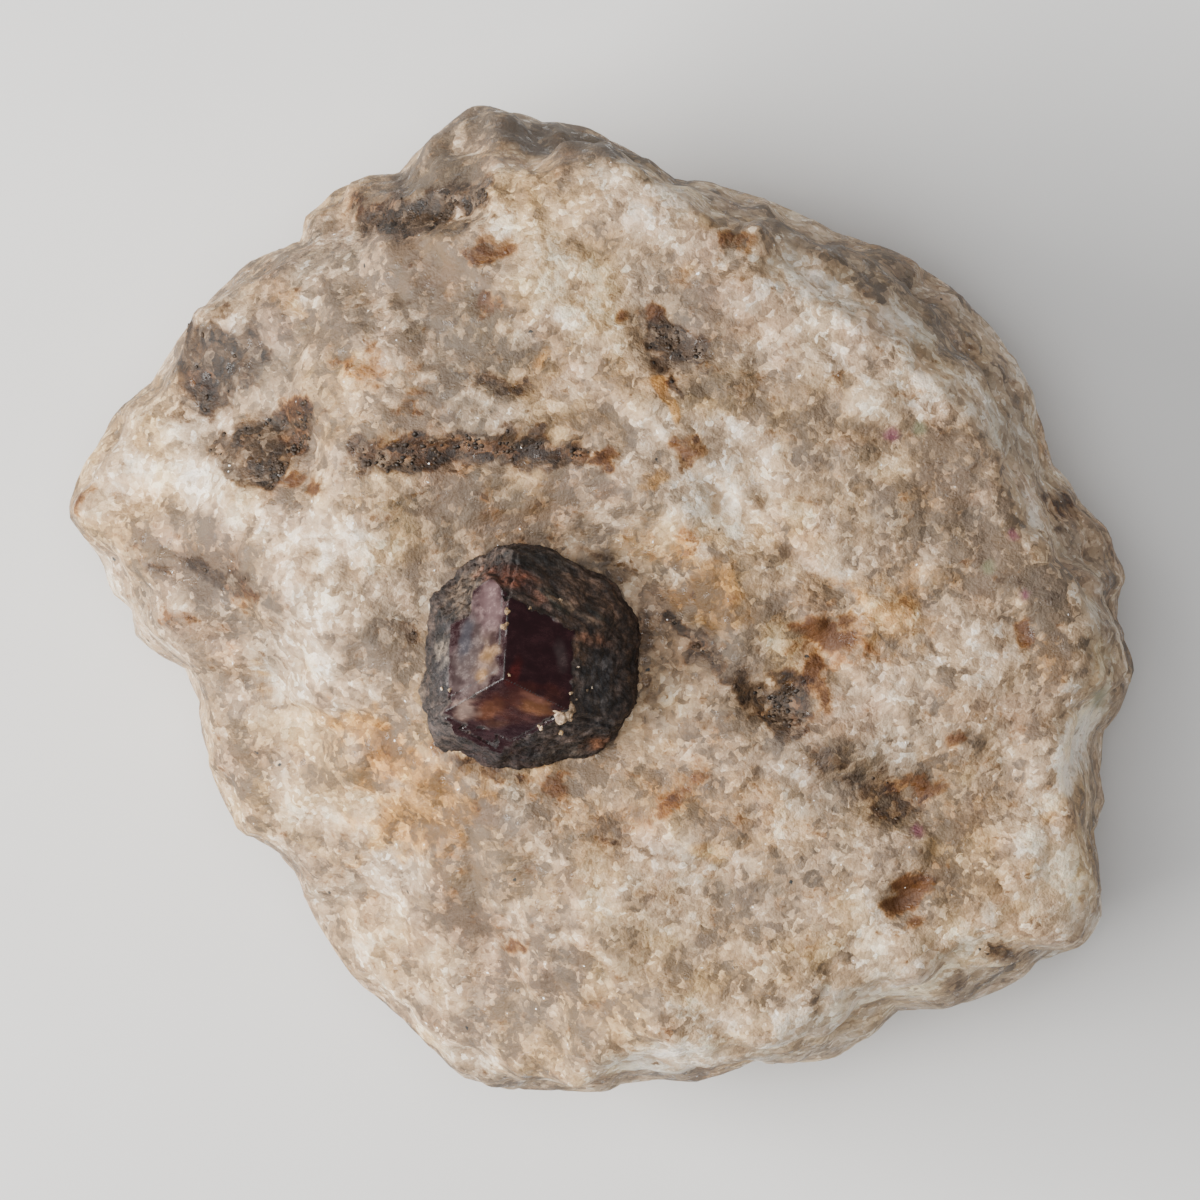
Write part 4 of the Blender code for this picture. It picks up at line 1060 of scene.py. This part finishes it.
def floor_material(colour):
    """Pale matt paper with a faint mottle."""
    sheet = Sheet("pale floor")
    mottle = sheet.noise(sheet.coords, 0.02, 4.0)
    paper = sheet.ramp(mottle, (0.3, [part * 0.97 for part in colour]), (0.7, colour))
    return sheet.finished({"Base Color": paper, "Roughness": 0.9})


# ---- Settings ----
def colour_setting(name, description, colour):
    """A colour that can be changed in the panel."""
    return FloatVectorProperty(name=name, description=description, subtype="COLOR", default=colour)


def length_setting(name, description, length, least, most):
    """A length, in metres, that can be changed in the panel."""
    return FloatProperty(name=name, description=description, default=length, min=least, max=most,
                         unit="LENGTH", precision=5)


class RockSettings(bpy.types.PropertyGroup):
    """Sizes and colours of the rock."""

    grain: length_setting("Grain width", "Width of a common grain", COMMON_GRAIN, 0.0004, 0.004)
    white_grain: colour_setting("White grains", "Colour of the pale grains", (0.94, 0.83, 0.69))
    cream_grain: colour_setting("Cream grains", "Colour of the cream grains", (0.585, 0.427, 0.283))
    beige_grain: colour_setting("Beige grains", "Colour of the beige grains", (0.345, 0.233, 0.141))
    grey_grain: colour_setting("Grey grains", "Colour of the darkest quartz grains", (0.15, 0.102, 0.066))
    ochre: colour_setting("Ochre stain", "Tint that ochre stains give the grains", (1.0, 0.77, 0.42))
    rust: colour_setting("Rust stain", "Colour of the rust spots", (0.082, 0.030, 0.0085))
    mica: colour_setting("Dark mica", "Colour of the dark mica", (0.012, 0.0078, 0.0050))
    brown_mica: colour_setting("Brown mica", "Colour of the brown mica", (0.045, 0.0255, 0.0125))


class GarnetSettings(bpy.types.PropertyGroup):
    """Colours of the crystal."""

    glass: colour_setting("Glass", "Colour of the glassy faces", (0.016, 0.004, 0.005))
    rind: colour_setting("Rind", "Colour of the dull rind", (0.036, 0.026, 0.022))


class StageSettings(bpy.types.PropertyGroup):
    """Camera, floor and light."""

    height: length_setting("Camera height", "Height of the camera over the floor", 0.70, 0.2, 3.0)
    view_width: length_setting("View width", "Width seen at the rock's edge", 0.096, 0.05, 0.5)
    view_level: length_setting("Edge level", "Level of the rock's edge over the floor", 0.020, 0.0, 0.05)
    floor: colour_setting("Floor", "Colour of the floor", (0.72, 0.71, 0.69))
    key: FloatProperty(name="Light", description="Power of the studio light in watts", default=9.6,
                       min=0.0, max=200.0)


class GarnetInMatrixSettings(bpy.types.PropertyGroup):
    """All settings of the specimen."""

    rock: PointerProperty(type=RockSettings)
    garnet: PointerProperty(type=GarnetSettings)
    stage: PointerProperty(type=StageSettings)


# ---- Operators ----
class SPECIMEN_OT_rock(bpy.types.Operator):
    """Makes the rock's skin in place of its plain solid"""

    bl_idname = "specimen.rock"
    bl_label = "Rock"

    def execute(self, context):
        colours = context.scene.specimen.rock
        grain = colours.grain
        directions, faces = rock_directions()
        points = skin_points(directions, grain / COMMON_GRAIN)
        rock = new_mesh("matrix_skin", points, faces, rock_material(colours, grain))
        shade(rock, True)
        dress(rock, points)
        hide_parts("matrix")
        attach(rock, "root")
        return {"FINISHED"}


def rock_surface():
    """Points, in millimetres, and outward directions of the finished rock skin."""
    mesh = bpy.data.objects["matrix_skin"].data
    points, normals = np.empty((2, len(mesh.vertices) * 3), np.float32)
    mesh.vertices.foreach_get("co", points)
    mesh.vertex_normals.foreach_get("vector", normals)
    return points.reshape(-1, 3).astype(float) / MM, normals.reshape(-1, 3).astype(float)


def set_bits(name, shape, faces, where, ways, sizes, material):
    """Sets a copy of a small closed shape on each of the chosen places.

    Every copy is scaled along its own three axes, has each corner nudged, leans away from the
    outward direction by its own small amount, and is sunk by a share of its height.
    """
    count = len(where)
    cells = np.stack([np.arange(count), np.arange(count) * 7 + 3, np.full(count, BIT_SALT)], axis=-1)
    chance = np.stack([scattered(cells, BIT_SALT + k) for k in range(7)], axis=-1)
    up = unit(ways + 0.5 * (chance[:, :3] - 0.5))
    side = unit(np.cross(up, chance[:, 3:6] - 0.5))
    frame_of = np.stack([side, np.cross(up, side), up], axis=1)
    corners = cells[:, None, :] + np.arange(len(shape))[None, :, None] * [1, 5, 0]
    nudges = np.stack([scattered(corners, BIT_SALT + 20 + k) for k in range(3)], axis=-1)
    body = shape[None] * (1.0 + 0.5 * (nudges - 0.5)) * sizes[:, None, :]
    body[:, :, 2] -= sizes[:, None, 2] * BIT_SUNK
    points = where[:, None, :] + np.einsum("nck,nkj->ncj", body, frame_of)
    rows = (faces[None] + (np.arange(count) * len(shape))[:, None, None]).reshape(-1, faces.shape[1])
    bits = new_mesh(name, points.reshape(-1, 3), [rows], material)
    shade(bits, False)
    tint = np.repeat(chance[:, 6] - 0.5, len(shape))
    dress(bits, np.repeat(where, len(shape), axis=0), tint)
    set_values(bits, "tint", tint)
    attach(bits, "root")


class SPECIMEN_OT_flakes(bpy.types.Operator):
    """Makes the thin six-sided flakes of dark mica in the dark patches"""

    bl_idname = "specimen.flakes"
    bl_label = "Mica flakes"

    def execute(self, context):
        colours = context.scene.specimen.rock
        points, ways = rock_surface()
        number = np.arange(len(points))
        chance = [scattered(np.stack([number, number * 3, number * 5], axis=-1), k) for k in (91, 92)]
        common = FLAKE_SHARE * (stain_and_painted_light_values(points, "mica") - FLAKE_STAIN)
        keep = (chance[0] < common) & (points[:, 2] > FLAKES_FROM)
        width = FLAKE_WIDTH[0] + FLAKE_WIDTH[1] * chance[1][keep]
        sizes = np.stack([width, width * 0.75, 0.05 + 0.08 * width], axis=-1)
        turn = np.radians(np.arange(6) * 60.0)
        ring = np.stack([np.cos(turn), np.sin(turn), np.ones(6)], axis=-1)
        shape = np.concatenate([ring * [1.0, 1.0, -1.0], ring])
        around, ahead = np.arange(6), np.roll(np.arange(6), -1)
        walls = np.stack([around, ahead, ahead + 6, around + 6], axis=-1)
        caps = np.array([[3, 2, 1, 0], [5, 4, 3, 0], [6, 7, 8, 9], [6, 9, 10, 11]])
        faces = np.concatenate([walls, caps])
        set_bits("mica_flakes", shape, faces, points[keep], ways[keep], sizes, mica_material(colours))
        return {"FINISHED"}


class SPECIMEN_OT_garnet(bpy.types.Operator):
    """Makes the crystal's skin in place of its plain solid"""

    bl_idname = "specimen.garnet"
    bl_label = "Garnet"

    def execute(self, context):
        colours = context.scene.specimen.garnet
        directions, faces = crystal_directions()
        reach, lead, flat = crystal_skin(directions)
        points = CRYSTAL_CENTRE + directions * reach[:, None]
        ragged = 0.25 * soft_noise(points, 0.8, 53) + 0.15 * soft_noise(points, 0.35, 54)
        polish = smooth_step(lead + ragged, 0.0, 0.10)
        layered = points @ LAMINAE
        rind = 0.34 * chips(points, 2.4, 61) + 0.16 * chips(layered, 0.40, 62)
        rind = rind + 0.07 * chips(layered, 0.16, 63)
        flaws = 0.012 * soft_noise(points, 1.2, 64)
        relief = rind * (1.0 - polish) + flaws * polish - CRYSTAL_SUNK
        points = points + directions * relief[:, None]
        crystal = new_mesh("garnet_skin", points, faces, garnet_material())
        shade(crystal, True, SHARP_CORNER)
        rind_tone = zone_colours(points, CRYSTAL_ZONES, np.tile(colours.rind, (len(points), 1)))
        facet_tone = zone_colours(points, FACET_ZONES, np.tile(colours.glass, (len(points), 1)))
        # The band along the glassy faces' edges is dulled and darkened: partly wear, partly painted shade
        # over the edge's glint.
        unworn_unshaded = smooth_step(flat, 0.0, WORN_AND_SHADED_WIDTH)
        facet_tone = facet_tone * (WORN_AND_SHADED_TONE + (1.0 - WORN_AND_SHADED_TONE) * unworn_unshaded[:, None])
        set_colours(crystal, "tone", rind_tone + (facet_tone - rind_tone) * polish[:, None])
        set_values(crystal, "polish", polish * unworn_unshaded)
        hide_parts("garnet")
        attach(crystal, "root")
        return {"FINISHED"}


class SPECIMEN_OT_crumbs(bpy.types.Operator):
    """Makes the crumbs of rock left on the crystal"""

    bl_idname = "specimen.crumbs"
    bl_label = "Crumbs"

    def execute(self, context):
        colours = context.scene.specimen.rock
        points, faces = [], []
        for number, (x, y, half) in enumerate(CRUMBS):
            directions, patches = ball_directions(CRUMB_CELLS[half > BIG_CRUMB])
            aim = np.array([[x, y, 0.0]]) - CRYSTAL_CENTRE
            aim[:, 2] = np.sqrt(np.maximum(CRUMB_BALL - aim[:, 0] ** 2 - aim[:, 1] ** 2, 4.0))
            reach, _, _ = crystal_skin(unit(aim))
            place = CRYSTAL_CENTRE + unit(aim)[0] * (reach[0] - 0.15 * half)
            bumps = 0.5 * chips(directions * half + number, 0.8 * half, 71)
            bumps = bumps + 0.8 * soft_noise(directions + number, 0.9, 72)
            shape = directions * half * (0.85 + bumps)[:, None]
            faces.append(patches + sum(len(p) for p in points))
            points.append(place + shape * [1.0, 1.0, 0.6])
        points = np.concatenate(points)
        crumbs = new_mesh("matrix_crumbs", points, faces, rock_material(colours, 0.45 * colours.grain))
        shade(crumbs, True)
        dress(crumbs, points)
        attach(crumbs, "root")
        return {"FINISHED"}


def add_area_light(watts, name, place, size, share, colour):
    """One soft rectangular lamp aimed at the middle of the specimen."""
    lamp = bpy.data.lights.new(name, "AREA")
    lamp.shape = "RECTANGLE"
    lamp.size, lamp.size_y = size
    lamp.energy = watts * share
    lamp.color = colour
    thing = bpy.data.objects.new(name, lamp)
    thing.location = place
    thing.rotation_euler = (LAMP_AIM - Vector(place)).to_track_quat("-Z", "Y").to_euler()
    bpy.context.scene.collection.objects.link(thing)


class SPECIMEN_OT_stage(bpy.types.Operator):
    """Makes the floor, the soft studio light and the camera"""

    bl_idname = "specimen.stage"
    bl_label = "Stage"

    def execute(self, context):
        stage = context.scene.specimen.stage
        corners = FLOOR_HALF * np.array([[-1, -1, 0], [1, -1, 0], [1, 1, 0], [-1, 1, 0]])
        floor = new_mesh("floor", corners, [np.array([[0, 1, 2, 3]])], floor_material(stage.floor))
        for lamp in LAMPS:
            add_area_light(stage.key, *lamp)
        world = bpy.data.worlds.new("studio")
        world.use_nodes = True
        sky = world.node_tree.nodes["Background"].inputs
        sky["Color"].default_value, sky["Strength"].default_value = SKY
        context.scene.world = world
        camera = bpy.data.cameras.new("camera")
        camera.sensor_width = SENSOR
        camera.lens = SENSOR * (stage.height - stage.view_level) / stage.view_width
        camera.clip_start = 0.01
        thing = bpy.data.objects.new("camera", camera)
        thing.location = (0.0, 0.0, stage.height)
        context.scene.collection.objects.link(thing)
        context.scene.camera = thing
        return {"FINISHED"}


class SPECIMEN_PT_panel(bpy.types.Panel):
    """Lists the pieces of the specimen"""

    bl_idname = "SPECIMEN_PT_panel"
    bl_label = "Garnet in matrix"
    bl_space_type = "VIEW_3D"
    bl_region_type = "UI"
    bl_category = "Garnet"

    def draw(self, context):
        for step in STEPS:
            self.layout.operator(step.bl_idname)
        settings = context.scene.specimen
        for group in (settings.rock, settings.garnet, settings.stage):
            for name in group.bl_rna.properties.keys():
                if name not in ("rna_type", "name"):
                    self.layout.prop(group, name)


STEPS = (SPECIMEN_OT_rock, SPECIMEN_OT_flakes, SPECIMEN_OT_garnet, SPECIMEN_OT_crumbs, SPECIMEN_OT_stage)
GROUPS = (RockSettings, GarnetSettings, StageSettings, GarnetInMatrixSettings)


def register():
    """Registers the settings, the operators and the panel."""
    for kind in (*GROUPS, *STEPS, SPECIMEN_PT_panel):
        bpy.utils.register_class(kind)
    bpy.types.Scene.specimen = PointerProperty(type=GarnetInMatrixSettings)


def unregister():
    """Removes them again."""
    del bpy.types.Scene.specimen
    for kind in reversed((*GROUPS, *STEPS, SPECIMEN_PT_panel)):
        bpy.utils.unregister_class(kind)


def main():
    """Makes every piece and the stage."""
    register()
    bpy.ops.specimen.rock()
    bpy.ops.specimen.flakes()
    bpy.ops.specimen.garnet()
    bpy.ops.specimen.crumbs()
    bpy.ops.specimen.stage()


if __name__ == "__main__":
    main()
